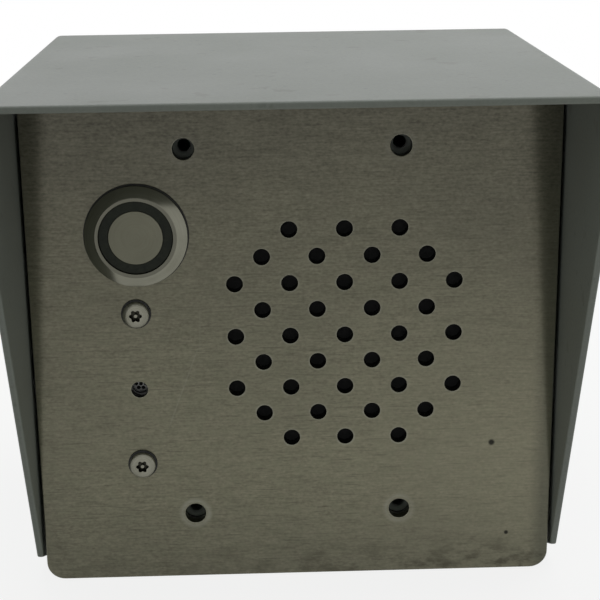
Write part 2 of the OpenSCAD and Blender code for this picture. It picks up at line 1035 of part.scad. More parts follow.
// Corrugated spider from the ledge to the coil's former
function spider_wave_at(r) = spider_wave * sin(360 * spider_curls * (ledge_r - r) / (ledge_r - neck_r));

module speaker_spider() {
    steps = spider_curls * curl_steps;
    radii = [for (i = [0 : steps]) neck_r + (spider_edge_r - neck_r) * i / steps];
    color("#b08a3e")
        speaker_turned()
            polygon(concat(
                [for (r = radii) [r, spider_s - spider_wave_at(r)]],
                [for (i = [steps : -1 : 0]) [radii[i], spider_s + spider_t - spider_wave_at(radii[i])]]
            ));
}

module speaker_cone() {
    color("#26282a")
        speaker_turned()
            polygon([
                [neck_r, neck_s],
                [cone_r - cone_lip, 0],
                [cone_r, 0],
                [cone_r, cone_t],
                [cone_r - cone_lip, cone_t],
                [neck_r, neck_s + cone_t]
            ]);
}

module dust_cap() {
    color("#1f2022")
        speaker_turned()
            polygon(concat(
                [for (i = [0 : arc_steps])
                    [dome_r * sin(90 * i / arc_steps), dome_rim_s - dome_rise * cos(90 * i / arc_steps)]],
                [for (i = [arc_steps : -1 : 0])
                    [dome_r * sin(90 * i / arc_steps),
                        dome_rim_s + dome_t - dome_rise * cos(90 * i / arc_steps)]]
            ));
}

module voice_coil() {
    color("#a8612c")
        speaker_turned()
            polygon([
                [former_in_r, neck_s],
                [former_out_r, neck_s],
                [former_out_r, winding_s],
                [former_out_r + winding_t, winding_s],
                [former_out_r + winding_t, winding_s + winding_l],
                [former_out_r, winding_s + winding_l],
                [former_out_r, former_end_s],
                [former_in_r, former_end_s]
            ]);
}

// Clamps that press the loudspeaker's rim against its seal
module speaker_clamps() {
    top = clamp_top_d - plate_t;
    color("#a7aaab")
        difference() {
            for (a = [45 : 90 : 315])
                place(grille_u, 0, plate_t)
                    rotate([0, -a, 0]) {
                        translate([speaker_r + clamp_gap, 0, -clamp_w / 2])
                            cube([clamp_foot_l, top, clamp_w]);
                        translate([speaker_r - clamp_tongue, top - clamp_t, -clamp_w / 2])
                            cube([clamp_tongue + clamp_gap + clamp_foot_l, clamp_t, clamp_w]);
                    }
            for (spot = clamp_spots)
                rod(spot[0], spot[1], plate_t - cut_over, clamp_top_d + cut_over, screw_hole_r);
        }
}

module speaker_nuts() {
    color("#b9bcbd")
        for (spot = clamp_spots)
            hex(spot[0], spot[1], clamp_top_d, clamp_top_d + nut_h, nut_af, screw_r + fit_gap);
}

// Circuit board
module standoffs() {
    color("#c8b04a")
        for (spot = standoff_spots)
            hex(spot[0], spot[1], plate_t, board_d, standoff_af, screw_r + fit_gap);
}

module main_board() {
    color("#1f5a37")
        slab(board_d, board_back_d)
            difference() {
                square([board_w, board_h], center = true);
                for (spot = standoff_spots)
                    translate(spot)
                        circle(r = screw_hole_r);
            }
}

module board_screws() {
    color("#b9bcbd")
        for (spot = standoff_spots) {
            rod(spot[0], spot[1], board_back_d - board_screw_l, board_back_d, screw_r);
            rod(spot[0], spot[1], board_back_d, board_back_d + pan_h, pan_r);
        }
}

// Network socket, with its mouth facing down
module ethernet_jack() {
    color("#c3c6c8")
        difference() {
            block([jack_u, jack_v + jack_l / 2], [jack_w, jack_l, jack_h], board_back_d);
            block([jack_u, jack_v + (jack_mouth_l - cut_over) / 2],
                [jack_mouth_w, jack_mouth_l + cut_over, jack_mouth_h], board_back_d + jack_wall);
        }
}

module jack_contacts() {
    l = jack_mouth_l - 2 * contact_set;
    color("#d5b54a")
        for (i = [0 : contact_count - 1])
            block([jack_u + (i - (contact_count - 1) / 2) * contact_step, jack_v + contact_set + l / 2],
                [contact_w, l, contact_h], board_back_d + jack_wall);
}

module terminal_at(i) {
    translate([terminal_block_u + (i - (terminal_ways - 1) / 2) * terminal_step, 0, 0])
        children();
}

module terminal_block() {
    mid_d = board_back_d + terminal_block_h / 2;
    color("#2f7d46")
        difference() {
            block([terminal_block_u, terminal_block_v],
                [terminal_ways * terminal_step, terminal_block_d, terminal_block_h], board_back_d);
            for (i = [0 : terminal_ways - 1])
                terminal_at(i) {
                    place(0, terminal_block_v - terminal_block_d / 2 - cut_over, mid_d)
                        cylinder(h = terminal_block_d / 2 + cut_over, r = wire_hole_r);
                    rod(0, terminal_block_v, mid_d, board_back_d + terminal_block_h + cut_over,
                        clamp_screw_r + fit_gap);
                }
        }
}

module terminal_screws() {
    top_d = board_back_d + terminal_block_h - clamp_screw_sink;
    color("#b9bcbd")
        for (i = [0 : terminal_ways - 1])
            terminal_at(i)
                rod(0, terminal_block_v, top_d - clamp_screw_h, top_d, clamp_screw_r);
}

module transformer() {
    color("#2b2a28")
        block(transformer_at, transformer_size, board_back_d);
}

module processor() {
    color("#1a1b1d")
        block(processor_at, processor_size, board_back_d);
}

module relay() {
    color("#1d3f86")
        block(relay_at, relay_size, board_back_d);
}

module capacitors() {
    color("#2a2f3b")
        for (spot = capacitor_spots)
            rod(spot[0], spot[1], board_back_d, board_back_d + capacitor_h, capacitor_r);
}

module reset_switch() {
    top_d = board_back_d + reset_size[2];
    color("#b7babb")
        difference() {
            block(reset_at, reset_size, board_back_d);
            rod(reset_at[0], reset_at[1], top_d - reset_well_h, top_d + cut_over, reset_r + slide_gap);
        }
}

module reset_plunger() {
    top_d = board_back_d + reset_size[2];
    color("#202122")
        rod(reset_at[0], reset_at[1], top_d - reset_well_h + reset_travel + slide_gap, top_d + reset_out,
            reset_r);
}

module lead_headers() {
    color("#e3e0d6")
        for (spot = header_spots)
            block(spot, header_size, header_front_d);
}

// Wires from the button, the microphone and the loudspeaker to the board
module button_lead(x, z, lane_d, pin_v) {
    tip_d = block_back_d + tag_l + lead_gap;
    header = header_spots[0];
    u = button_u + x * tag_u;
    v = button_v + z * tag_v;
    tube([
        on_plate(u, v, tip_d),
        on_plate(u, v, tip_d + lane_d - lead_turn / 2),
        on_plate(u + lead_turn, v, tip_d + lane_d),
        on_plate(header[0] - 2 * lead_turn, header[1] + pin_v, tip_d + lane_d),
        on_plate(header[0], header[1] + pin_v, tip_d + lane_d + lead_turn),
        on_plate(header[0], header[1] + pin_v, lead_end_d)
    ], lead_r, [0, 0, 1]);
}

module button_leads() {
    color("#a33a30") {
        button_lead(-1, 1, lane_far, 3 * lead_step);
        button_lead(1, 1, lane_near, lead_step);
        button_lead(1, -1, lane_near, -lead_step);
        button_lead(-1, -1, lane_far, -3 * lead_step);
    }
}

module mic_leads() {
    start_d = plate_t + boot_front_t + capsule_h + lead_gap;
    header = header_spots[1];
    color("#3a62a3")
        for (x = [-1, 1])
            tube([
                on_plate(mic_u + x * lead_step, mic_v, start_d),
                on_plate(mic_u + x * lead_step, mic_v, mic_nut_d + mic_lead_out),
                on_plate(header[0], header[1] + x * lead_step, lead_end_d - lead_drop),
                on_plate(header[0], header[1] + x * lead_step, lead_end_d)
            ], lead_r, [0, 0, 1]);
}

module speaker_leads() {
    start_d = flange_d + ledge_s + basket_t + lead_gap;
    start_v = speaker_tag_in - ledge_r;
    header = header_spots[2];
    color("#26272a")
        for (x = [-1, 1])
            tube([
                on_plate(grille_u + x * lead_step, start_v, start_d),
                on_plate(grille_u + x * lead_step, start_v - lead_turn, start_d + speaker_lead_out),
                on_plate(header[0], header[1] + x * lead_step, lead_end_d - lead_drop),
                on_plate(header[0], header[1] + x * lead_step, lead_end_d)
            ], lead_r, [1, 0, 0]);
}

hood();
back_panel();
top_rail();
bottom_rail();
bottom_cover();
side_screws();
side_nuts();
cable_bushing();
plate_gaskets();
faceplate();
weld_studs();
button_bezel();
button_cap();
button_ring();
button_carrier();
button_seal();
button_washer();
button_nut();
button_spring();
button_contact_block();
button_terminals();
mic_boot();
mic_capsule();
mic_spacers();
mic_clamp();
torx_screws();
screw_washers();
mic_nuts();
speaker_mesh();
speaker_gasket();
speaker_basket();
speaker_top_plate();
speaker_magnet();
speaker_yoke();
speaker_surround();
speaker_spider();
speaker_cone();
dust_cap();
voice_coil();
speaker_clamps();
speaker_nuts();
standoffs();
main_board();
board_screws();
ethernet_jack();
jack_contacts();
terminal_block();
terminal_screws();
transformer();
processor();
relay();
capacitors();
reset_switch();
reset_plunger();
lead_headers();
button_leads();
mic_leads();
speaker_leads();
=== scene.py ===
import math

import bmesh
import bpy
from mathutils import Matrix, Vector


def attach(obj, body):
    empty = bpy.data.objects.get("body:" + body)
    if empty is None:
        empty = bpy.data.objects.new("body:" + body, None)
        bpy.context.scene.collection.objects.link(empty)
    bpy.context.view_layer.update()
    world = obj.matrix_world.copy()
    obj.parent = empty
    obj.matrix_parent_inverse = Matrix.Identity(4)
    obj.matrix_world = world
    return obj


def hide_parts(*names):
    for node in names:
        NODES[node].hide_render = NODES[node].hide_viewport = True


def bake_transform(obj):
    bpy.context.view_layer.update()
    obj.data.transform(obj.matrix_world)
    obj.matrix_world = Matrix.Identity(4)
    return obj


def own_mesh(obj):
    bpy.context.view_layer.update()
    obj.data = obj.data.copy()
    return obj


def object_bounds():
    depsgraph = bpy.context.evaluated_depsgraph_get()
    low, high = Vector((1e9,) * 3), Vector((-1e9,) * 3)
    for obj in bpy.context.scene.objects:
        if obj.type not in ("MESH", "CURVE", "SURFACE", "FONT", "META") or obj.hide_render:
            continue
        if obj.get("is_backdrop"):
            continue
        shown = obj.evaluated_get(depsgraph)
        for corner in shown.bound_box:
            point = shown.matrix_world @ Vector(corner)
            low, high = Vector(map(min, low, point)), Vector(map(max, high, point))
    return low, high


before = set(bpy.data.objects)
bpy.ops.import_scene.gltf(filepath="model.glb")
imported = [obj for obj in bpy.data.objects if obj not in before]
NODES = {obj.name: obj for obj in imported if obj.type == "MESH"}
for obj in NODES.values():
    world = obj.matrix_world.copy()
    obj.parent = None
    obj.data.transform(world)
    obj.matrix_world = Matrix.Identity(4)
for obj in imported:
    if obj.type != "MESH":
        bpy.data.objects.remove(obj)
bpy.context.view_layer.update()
SCENE = bpy.context.scene
MM = 0.001

# Axes of the plate, in millimetres: u to the right and v up from the middle of the fixing holes,
# d to the back from the plate's front face
FACE_Y = -20.5
MID_Z = 57.2


def on_plate(u, v, d):
    return Vector((u, FACE_Y + d, MID_Z + v)) * MM


# Places on the plate. The sound holes are every second place of a square grid, which reaches so many
# steps from its middle along an axis, and so many in both axes together
FRONT_D, BACK_D = 0.0, 3.0
BUTTON = (-33.6, 23.2)
MIC = (-34.4, -11.75)
MIC_SCREWS = [(-34.4, 5.75), (-34.4, -29.25)]
FIXINGS = [(x * 23.02, z * 41.67) for x in (-1, 1) for z in (-1, 1)]
SPEAKER = (10.9, 0.0)
GRILLE_STEP, GRILLE_REACH, GRILLE_BOTH = 5.96, 4, 6


# Shader nodes
def node(tree, kind, inputs=None, **props):
    """A shader node. inputs maps a socket's name or index to a value or to another socket."""
    made = tree.nodes.new("ShaderNode" + kind)
    for key, value in props.items():
        setattr(made, key, value)
    for key, value in (inputs or {}).items():
        if isinstance(value, bpy.types.NodeSocket):
            tree.links.new(value, made.inputs[key])
        else:
            made.inputs[key].default_value = value
    return made


def math_node(tree, operation, a, b=0.0, c=0.0, clamp=False):
    return node(tree, "Math", {0: a, 1: b, 2: c}, operation=operation, use_clamp=clamp).outputs[0]


def times(tree, a, b):
    return math_node(tree, "MULTIPLY", a, b)


def vector_node(tree, operation, a, b=(0.0, 0.0, 0.0)):
    return node(tree, "VectorMath", {0: a, 1: b}, operation=operation).outputs


def mix_color(tree, factor, a, b):
    return node(tree, "Mix", {0: factor, 6: a, 7: b}, data_type="RGBA").outputs[2]


def stretch(tree, low, high, value, to_low=0.0, to_high=1.0):
    """A value from low to high taken to another range and held at its ends."""
    return node(tree, "MapRange", {0: value, 1: low, 2: high, 3: to_low, 4: to_high}).outputs[0]


def contrast(tree, noise, to_low=0.0, to_high=1.0):
    """Noise, most of which lies between 0.3 and 0.7, taken to a full range."""
    return stretch(tree, 0.3, 0.7, noise, to_low, to_high)


def own_place(tree):
    """The part's own coordinates, in metres."""
    return node(tree, "TexCoord").outputs["Object"]


def own_axes(tree):
    return node(tree, "SeparateXYZ", {0: own_place(tree)}).outputs


def attribute(tree, name):
    """A number that is kept on the mesh."""
    return node(tree, "Attribute", attribute_name=name).outputs["Fac"]


def even(scale):
    """One noise scale for all three axes."""
    return (scale, scale, scale)


def place_noise(tree, scale, detail=3.0, roughness=0.55, offset=(0.0, 0.0, 0.0)):
    """Noise in the part's own coordinates, with a scale per metre for each axis."""
    inputs = {"Vector": own_place(tree), "Location": offset, "Scale": scale}
    moved = node(tree, "Mapping", inputs).outputs[0]
    return node(tree, "TexNoise", {
        "Vector": moved, "Scale": 1.0, "Detail": detail, "Roughness": roughness,
    }).outputs[0]


def rgba(color):
    return (color[0], color[1], color[2], 1.0)


def shaded(color, factor):
    """A colour made darker or lighter."""
    return rgba([c * factor for c in color])


def start_material(name, **constants):
    """A new material. constants are values for the shader's own sockets."""
    material = bpy.data.materials.new(name)
    material.use_nodes = True
    tree = material.node_tree
    shader = tree.nodes["Principled BSDF"]
    for key, value in constants.items():
        shader.inputs[key.replace("_", " ").title().replace("Ior", "IOR")].default_value = value
    return material, tree, shader


def connect(tree, shader, color, roughness):
    tree.links.new(color, shader.inputs["Base Color"])
    tree.links.new(roughness, shader.inputs["Roughness"])


def bump(tree, shader, height, distance, strength=1.0):
    made = node(tree, "Bump", {"Height": height, "Distance": distance, "Strength": strength})
    tree.links.new(made.outputs[0], shader.inputs["Normal"])


def across_grain(tree, shader):
    """Reflections stretch across the grain, along U."""
    made = node(tree, "Tangent", direction_type="UV_MAP", uv_map="grain")
    tree.links.new(made.outputs[0], shader.inputs["Tangent"])


def ring_distance(tree, center, radius):
    """Distance from a circle about an axis through the plate, in metres."""
    flat = vector_node(tree, "MULTIPLY", own_place(tree), (1.0, 0.0, 1.0))["Vector"]
    point = on_plate(center[0], center[1], 0.0)
    away = vector_node(tree, "DISTANCE", flat, (point.x, 0.0, point.z))["Value"]
    return math_node(tree, "ABSOLUTE", math_node(tree, "SUBTRACT", away, radius * MM))


# Plain finishes. The mottling is this much coarser than the grain
MOTTLING_SCALE = 0.07


def finish_of(name, dark, light, rough, grain, height, metallic=0.0, spots=0.0, **constants):
    """A finish with two tones of one colour, uneven gloss and fine relief.

    grain is the noise scale per metre, one number or one for each axis, rough the lowest and highest
    roughness, height the depth of the relief in metres, and spots the strength of the coarse mottling."""
    if not isinstance(grain, tuple):
        grain = even(grain)
    material, tree, shader = start_material(name, metallic=metallic, **constants)
    fine = place_noise(tree, grain)
    coarse = place_noise(tree, tuple(s * MOTTLING_SCALE for s in grain), 2.0, offset=(0.3, 0.1, 0.7))
    tone = math_node(tree, "MULTIPLY_ADD", coarse, spots, times(tree, fine, 1.0 - spots))
    color = mix_color(tree, contrast(tree, tone), rgba(dark), rgba(light))
    connect(tree, shader, color, contrast(tree, fine, *rough))
    bump(tree, shader, fine, height)
    return material


# Paint. Marks are shades of its dark or its light tone
SCUFF_SHADES = (0.62, 0.56, 0.5)
SPECK_SHADE, RUBBED_SHADE, PAINTED_CORNER_SHADE, PAINTED_WING_LIGHT = 0.62, 1.25, 0.5, 1.5
PAINTED_HOLE_SHADE = (0.004, 0.004, 0.003, 1)

# Painted light and shade on the hood, by place in metres: painted shade towards the roof's left front
# corner, and painted light low down inside the left wing
ROOF_Z = (0.110, 0.1135)
CORNER_PER_X, CORNER_PER_Y, CORNER_AT_MIDDLE = -1.21, -0.923, 0.072
WING_OUTER_X, WING_INNER_X = (-0.0588, -0.0582), (-0.0576, -0.057)
WING_LIGHT_Z, WING_LIGHT_MOST = (0.04, 0.09), 0.35


def paint_light_and_shade(tree, color, dark, light):
    """Painted shade towards the roof's left front corner, painted light low inside the left wing."""
    place = own_axes(tree)
    corner = math_node(tree, "MULTIPLY_ADD", place["X"], CORNER_PER_X, CORNER_AT_MIDDLE)
    corner = math_node(tree, "MULTIPLY_ADD", place["Y"], CORNER_PER_Y, corner)
    corner_shade = times(tree, corner, stretch(tree, *ROOF_Z, place["Z"]))
    color = mix_color(tree, corner_shade, color, shaded(dark, PAINTED_CORNER_SHADE))
    inside = times(tree, stretch(tree, *WING_OUTER_X, place["X"]),
                   stretch(tree, *WING_INNER_X, place["X"], 1.0, 0.0))
    wing_light = times(tree, inside, stretch(tree, *WING_LIGHT_Z, place["Z"], WING_LIGHT_MOST, 0.0))
    return mix_color(tree, wing_light, color, shaded(light, PAINTED_WING_LIGHT))


def painted(name, dark, light, holes=(), with_painted_light=False):
    """Satin powder paint: faint mottling, orange peel, dust specks and paler rubbed edges.

    holes are the places of rims of painted shade on the plate's axes, each with its inner and outer radius."""
    material, tree, shader = start_material(name, specular_ior_level=0.4)
    cloud = place_noise(tree, even(38.0), 3.0)
    peel = place_noise(tree, even(1500.0), 2.0)
    dust = place_noise(tree, even(420.0), 2.0, offset=(0.0, 3.0, 0.0))
    marks = place_noise(tree, even(150.0), 3.0, 0.5, (0.0, 1.0, 0.4))
    tone = math_node(tree, "MULTIPLY_ADD", peel, 0.45, times(tree, cloud, 0.55))
    color = mix_color(tree, contrast(tree, tone), rgba(dark), rgba(light))
    scuff = times(tree, stretch(tree, 0.66, 0.70, marks), 0.3)
    color = mix_color(tree, scuff, color, rgba([c * s for c, s in zip(dark, SCUFF_SHADES)]))
    speck = times(tree, stretch(tree, 0.66, 0.74, dust), 0.35)
    color = mix_color(tree, speck, color, shaded(dark, SPECK_SHADE))
    rubbed = times(tree, attribute(tree, "edge"), stretch(tree, 0.35, 0.65, cloud, 0.1, 0.45))
    color = mix_color(tree, rubbed, color, shaded(light, RUBBED_SHADE))
    # Painted shade round the holes
    for spot, inner, outer in holes:
        hole_shade = stretch(tree, inner * MM, outer * MM, ring_distance(tree, spot, 0.0), 0.95, 0.0)
        color = mix_color(tree, hole_shade, color, PAINTED_HOLE_SHADE)
    # Painted light and shade on the hood
    if with_painted_light:
        color = paint_light_and_shade(tree, color, dark, light)
    connect(tree, shader, color, contrast(tree, cloud, 0.46, 0.58))
    bump(tree, shader, peel, 0.000045)
    return material


# The plate's steel: colours, rubbing round each fixing hole, scratches with width and strength, and pits
# with their radius
STEEL_DARK, STEEL_LIGHT = (0.164, 0.153, 0.109, 1), (0.324, 0.303, 0.220, 1)
# Tones of the painted shade on the plate
SHADED_STEEL_DARK, SHADED_STEEL_LIGHT = (0.059, 0.055, 0.041, 1), (0.154, 0.147, 0.113, 1)
CLOUD_STEEL, TINTED_STEEL = (0.196, 0.184, 0.138, 1), (0.215, 0.222, 0.150, 1)
DASH_STEEL, PAINTED_LIGHT_STEEL = (0.088, 0.082, 0.060, 1), (0.397, 0.371, 0.269, 1)
EDGE_HIGHLIGHT_STEEL = (0.340, 0.330, 0.270, 1)
# Rubbed steel, also the painted highlight round the sound holes, and scratched steel
RUBBED_AND_HIGHLIGHT_STEEL, SCRATCHED_STEEL = (0.380, 0.370, 0.310, 1), (0.420, 0.410, 0.350, 1)
GRIME, PAINTED_WING_SHADE = (0.062, 0.054, 0.036, 1), (0.058, 0.062, 0.048, 1)
PIT_BLACK, PAINTED_WALL_SHADE = (0.007, 0.007, 0.005, 1), (0.007, 0.007, 0.006, 1)
RUBBED = (1.0, 0.5, 0.75, 0.55)
HALO_R, HALO_WIDTH = 3.0, 0.0009
# Radius and width of the painted highlight round each sound hole
GRILLE_HIGHLIGHT_R, GRILLE_HIGHLIGHT_WIDTH = 1.98, 0.34
SCRATCHES = [((-21.0, -1.7), (-28.5, -21.4), 0.22, 0.22), ((-20.6, 6.5), (-20.9, -4.0), 0.2, 0.14)]
PITS = [((43.71, -26.1), 0.8), ((47.6, -48.3), 0.55)]


def grille_rims(tree, radius, width):
    """One on a circle round each sound hole, fading to zero over the width."""
    rel = vector_node(tree, "SUBTRACT", own_place(tree), tuple(on_plate(*SPEAKER, 0.0)))["Vector"]
    place = node(tree, "SeparateXYZ", {0: rel}).outputs
    across = math_node(tree, "DIVIDE", place["X"], GRILLE_STEP * MM)
    up = math_node(tree, "DIVIDE", place["Z"], GRILLE_STEP * MM)
    squares = []
    for operation in ("ADD", "SUBTRACT"):
        turned = times(tree, math_node(tree, operation, across, up), 0.5)
        rest = math_node(tree, "SUBTRACT", turned, math_node(tree, "ROUND", turned))
        squares.append(times(tree, rest, rest))
    near = math_node(tree, "SQRT", times(tree, math_node(tree, "ADD", *squares), 2.0))
    off = math_node(tree, "ABSOLUTE", math_node(tree, "SUBTRACT", near, radius / GRILLE_STEP))
    ring = stretch(tree, 0.0, width / GRILLE_STEP, off, 1.0, 0.0)
    across = math_node(tree, "ABSOLUTE", across)
    up = math_node(tree, "ABSOLUTE", up)
    square = math_node(tree, "LESS_THAN", math_node(tree, "MAXIMUM", across, up), GRILLE_REACH + 0.5)
    corners = math_node(tree, "LESS_THAN", math_node(tree, "ADD", across, up), GRILLE_BOTH + 1.0)
    return times(tree, ring, times(tree, square, corners))


def scratch_mask(tree, start, end, width):
    """One along a thin line on the plate, zero elsewhere."""
    a = on_plate(start[0], start[1], 0.0)
    run = on_plate(end[0], end[1], 0.0) - a
    side = Vector((-run.z, 0.0, run.x)).normalized()
    rel = vector_node(tree, "SUBTRACT", own_place(tree), tuple(a))["Vector"]
    along = vector_node(tree, "DOT_PRODUCT", rel, tuple(run / run.length_squared))["Value"]
    off = vector_node(tree, "DOT_PRODUCT", rel, tuple(side))["Value"]
    near = stretch(tree, 0.0, width * MM, math_node(tree, "ABSOLUTE", off), 1.0, 0.0)
    inside = math_node(tree, "PINGPONG", math_node(tree, "ADD", along, 0.0, clamp=True), 0.5)
    return times(tree, near, stretch(tree, 0.0, 0.12, inside))


def brushed_plate():
    """Brushed steel with level grain, rubbed rings round the fixing holes, pits, scratches and grime."""
    material, tree, shader = start_material(
        "brushed_plate", metallic=0.385, anisotropic=0.7, specular_ior_level=0.2)
    # Level grain in two tones, with clouds, tints and dark dashes
    fine = place_noise(tree, (820.0, 400.0, 2150.0), 2.0, 0.6)
    streak = place_noise(tree, (160.0, 300.0, 2100.0), 1.0, 0.5, (0.2, 0.0, 0.9))
    speck = place_noise(tree, (1500.0, 400.0, 1800.0), 1.0, 0.5, (0.6, 0.0, 0.2))
    broad = place_noise(tree, (70.0, 200.0, 420.0), 3.0, 0.6, (0.4, 0.0, 0.2))
    cloud = place_noise(tree, (30.0, 30.0, 45.0), 2.0, 0.5, (0.9, 0.0, 0.5))
    tint = place_noise(tree, (330.0, 330.0, 480.0), 2.0, 0.6, (0.1, 0.0, 0.6))
    dashes = place_noise(tree, (150.0, 300.0, 2500.0), 1.0, 0.5, (0.7, 0.0, 0.1))
    tone = math_node(tree, "MULTIPLY_ADD", fine, 0.4, times(tree, streak, 0.22))
    tone = math_node(tree, "MULTIPLY_ADD", speck, 0.22, tone)
    tone = math_node(tree, "MULTIPLY_ADD", broad, 0.16, tone)
    grain = stretch(tree, 0.34, 0.66, tone)
    color = mix_color(tree, grain, STEEL_DARK, STEEL_LIGHT)
    color = mix_color(tree, stretch(tree, 0.35, 0.65, cloud, 0.0, 0.3), color, CLOUD_STEEL)
    color = mix_color(tree, stretch(tree, 0.35, 0.65, tint, 0.0, 0.3), color, TINTED_STEEL)
    color = mix_color(tree, stretch(tree, 0.60, 0.72, dashes, 0.0, 0.4), color, DASH_STEEL)
    # Rubbed rings round the fixing holes, painted highlight rings round the sound holes, and scratches
    halo = None
    for spot, level in zip(FIXINGS, RUBBED):
        one = stretch(tree, 0.0, HALO_WIDTH, ring_distance(tree, spot, HALO_R), level, 0.0)
        halo = one if halo is None else math_node(tree, "MAXIMUM", halo, one)
    halo = times(tree, halo, contrast(tree, broad, 0.35, 0.9))
    color = mix_color(tree, halo, color, RUBBED_AND_HIGHLIGHT_STEEL)
    # Painted highlight rings round the sound holes
    rims = grille_rims(tree, GRILLE_HIGHLIGHT_R, GRILLE_HIGHLIGHT_WIDTH)
    rims = times(tree, rims, stretch(tree, 0.35, 0.65, tint, 0.05, 0.55))
    color = mix_color(tree, rims, color, RUBBED_AND_HIGHLIGHT_STEEL)
    for start, end, width, level in SCRATCHES:
        mask = times(tree, scratch_mask(tree, start, end, width), level)
        color = mix_color(tree, mask, color, SCRATCHED_STEEL)
    # Painted light low at the right; painted shade towards the top under the roof, at the foot and low at
    # the left
    place = own_axes(tree)
    right, up = place["X"], place["Z"]
    paler = stretch(tree, 0.0, 0.057, right, 0.0, 0.3)
    paler = times(tree, paler, stretch(tree, 0.05, 0.1, up, 1.0, 0.0))
    color = mix_color(tree, paler, color, PAINTED_LIGHT_STEEL)
    shade_under_roof = stretch(tree, 0.03, 0.108, up, 0.0, 0.96)
    shade_at_foot = stretch(tree, 0.002, 0.026, up, 0.3, 0.0)
    shade_at_left = stretch(tree, -0.057, -0.01, right, 0.22, 0.0)
    shade_at_left = times(tree, shade_at_left, stretch(tree, 0.02, 0.07, up, 1.0, 0.0))
    plate_shade = math_node(tree, "ADD", shade_under_roof, math_node(tree, "ADD", shade_at_foot, shade_at_left))
    plate_shade = times(tree, plate_shade, contrast(tree, cloud, 0.8, 1.0))
    color = mix_color(tree, plate_shade, color, mix_color(tree, grain, SHADED_STEEL_DARK, SHADED_STEEL_LIGHT))
    # Grime along the foot, and pits; painted shade at the right rim and on the hole walls, and painted
    # highlight on the rounded edges
    grime = place_noise(tree, (210.0, 260.0, 420.0), 4.0, 0.65, (0.5, 0.0, 0.3))
    grime = times(tree, stretch(tree, 0.46, 0.62, grime), stretch(tree, 0.001, 0.0095, up, 0.75, 0.0))
    grime = times(tree, grime, stretch(tree, -0.03, 0.045, right, 0.3, 1.0))
    color = mix_color(tree, grime, color, GRIME)
    # Painted shade of the wing along the right rim, strongest low down
    rim_dirt = times(tree, stretch(tree, 0.0525, 0.0555, right), stretch(tree, 0.02, 0.1, up, 0.5, 0.2))
    color = mix_color(tree, rim_dirt, color, PAINTED_WING_SHADE)
    for spot, radius in PITS:
        away = ring_distance(tree, spot, 0.0)
        hole = stretch(tree, radius * 0.55 * MM, radius * 1.1 * MM, away, 1.0, 0.0)
        color = mix_color(tree, times(tree, hole, 0.93), color, PIT_BLACK)
    # Painted highlight on the rounded edges
    color = mix_color(tree, times(tree, attribute(tree, "edge"), 0.7), color, EDGE_HIGHLIGHT_STEEL)
    # Painted shade on the walls of the holes
    color = mix_color(tree, times(tree, attribute(tree, "wall"), 0.95), color, PAINTED_WALL_SHADE)
    connect(tree, shader, color, contrast(tree, tone, 0.20, 0.17))
    across_grain(tree, shader)
    bump(tree, shader, tone, 0.00003, 0.15)
    return material


# Turned steel
# Colour of the painted shade on turned steel
TURNED_DARK = (0.016, 0.015, 0.009, 1)


def turned_steel(name, dark, light, rough, spacing):
    """Steel turned on a lathe: fine rings round the piece's own axis, held in its UV map."""
    material, tree, shader = start_material(name, metallic=0.65, anisotropic=0.45, specular_ior_level=0.2)
    where = node(tree, "UVMap", uv_map="grain").outputs[0]
    scaled = node(tree, "Mapping", {"Vector": where, "Scale": (1.0 / spacing, 3.0, 1.0)}).outputs[0]
    rings = node(tree, "TexNoise", {"Vector": scaled, "Scale": 1.0, "Detail": 3.0}).outputs[0]
    cloud = place_noise(tree, even(260.0), 2.0)
    tone = math_node(tree, "MULTIPLY_ADD", rings, 0.6, times(tree, cloud, 0.4))
    color = mix_color(tree, contrast(tree, tone), rgba(dark), rgba(light))
    # Painted shade on the bezel's side wall and in the screws' recesses, and a darker bezel lip
    color = mix_color(tree, times(tree, attribute(tree, "dirt"), 0.94), color, TURNED_DARK)
    connect(tree, shader, color, contrast(tree, tone, *rough))
    across_grain(tree, shader)
    bump(tree, shader, rings, 0.000006, 0.25)
    return material


# Materials: dark and light tone, lowest and highest roughness, then the spacing of the rings, or the grain
# and the relief
# Painted shade round the rail's tapped holes, which show through the fixing holes
HOLE_SHADE_INNER_R, HOLE_SHADE_OUTER_R = 1.1, 2.1
# The hood's paint carries painted light and shade
PAINT = painted("hood_paint", (0.205, 0.216, 0.207), (0.262, 0.274, 0.264), with_painted_light=True)
RAIL_PAINT = painted("rail_paint", (0.25, 0.265, 0.25), (0.31, 0.325, 0.31),
                     [(spot, HOLE_SHADE_INNER_R, HOLE_SHADE_OUTER_R) for spot in FIXINGS])
PLATE = brushed_plate()
BEZEL = turned_steel("bezel_steel", (0.21, 0.206, 0.163), (0.27, 0.266, 0.216), (0.15, 0.21), 0.00022)
CAP = turned_steel("cap_steel", (0.135, 0.133, 0.098), (0.165, 0.162, 0.122), (0.34, 0.42), 0.0004)
SCREW = turned_steel("screw_steel", (0.20, 0.194, 0.150), (0.34, 0.333, 0.28), (0.28, 0.38), 0.0002)
LENS = finish_of("lens_smoke", (0.018, 0.021, 0.016), (0.034, 0.038, 0.029), (0.3, 0.42), 900.0, 4e-6,
                 specular_ior_level=0.12)
ZINC = finish_of("zinc_plate", (0.30, 0.30, 0.29), (0.46, 0.46, 0.45), (0.25, 0.42), 700.0, 6e-6,
                 metallic=1.0, spots=0.3)
RUBBER = finish_of("black_rubber", (0.012, 0.012, 0.012), (0.028, 0.028, 0.028), (0.6, 0.8), 900.0, 2e-5)
FOAM = finish_of("black_foam", (0.010, 0.010, 0.010), (0.05, 0.05, 0.05), (0.85, 1.0), 1600.0, 1.2e-4)
CLOTH = finish_of("acoustic_cloth", (0.003, 0.003, 0.003), (0.012, 0.012, 0.013), (0.8, 0.95), 2200.0, 1e-4)
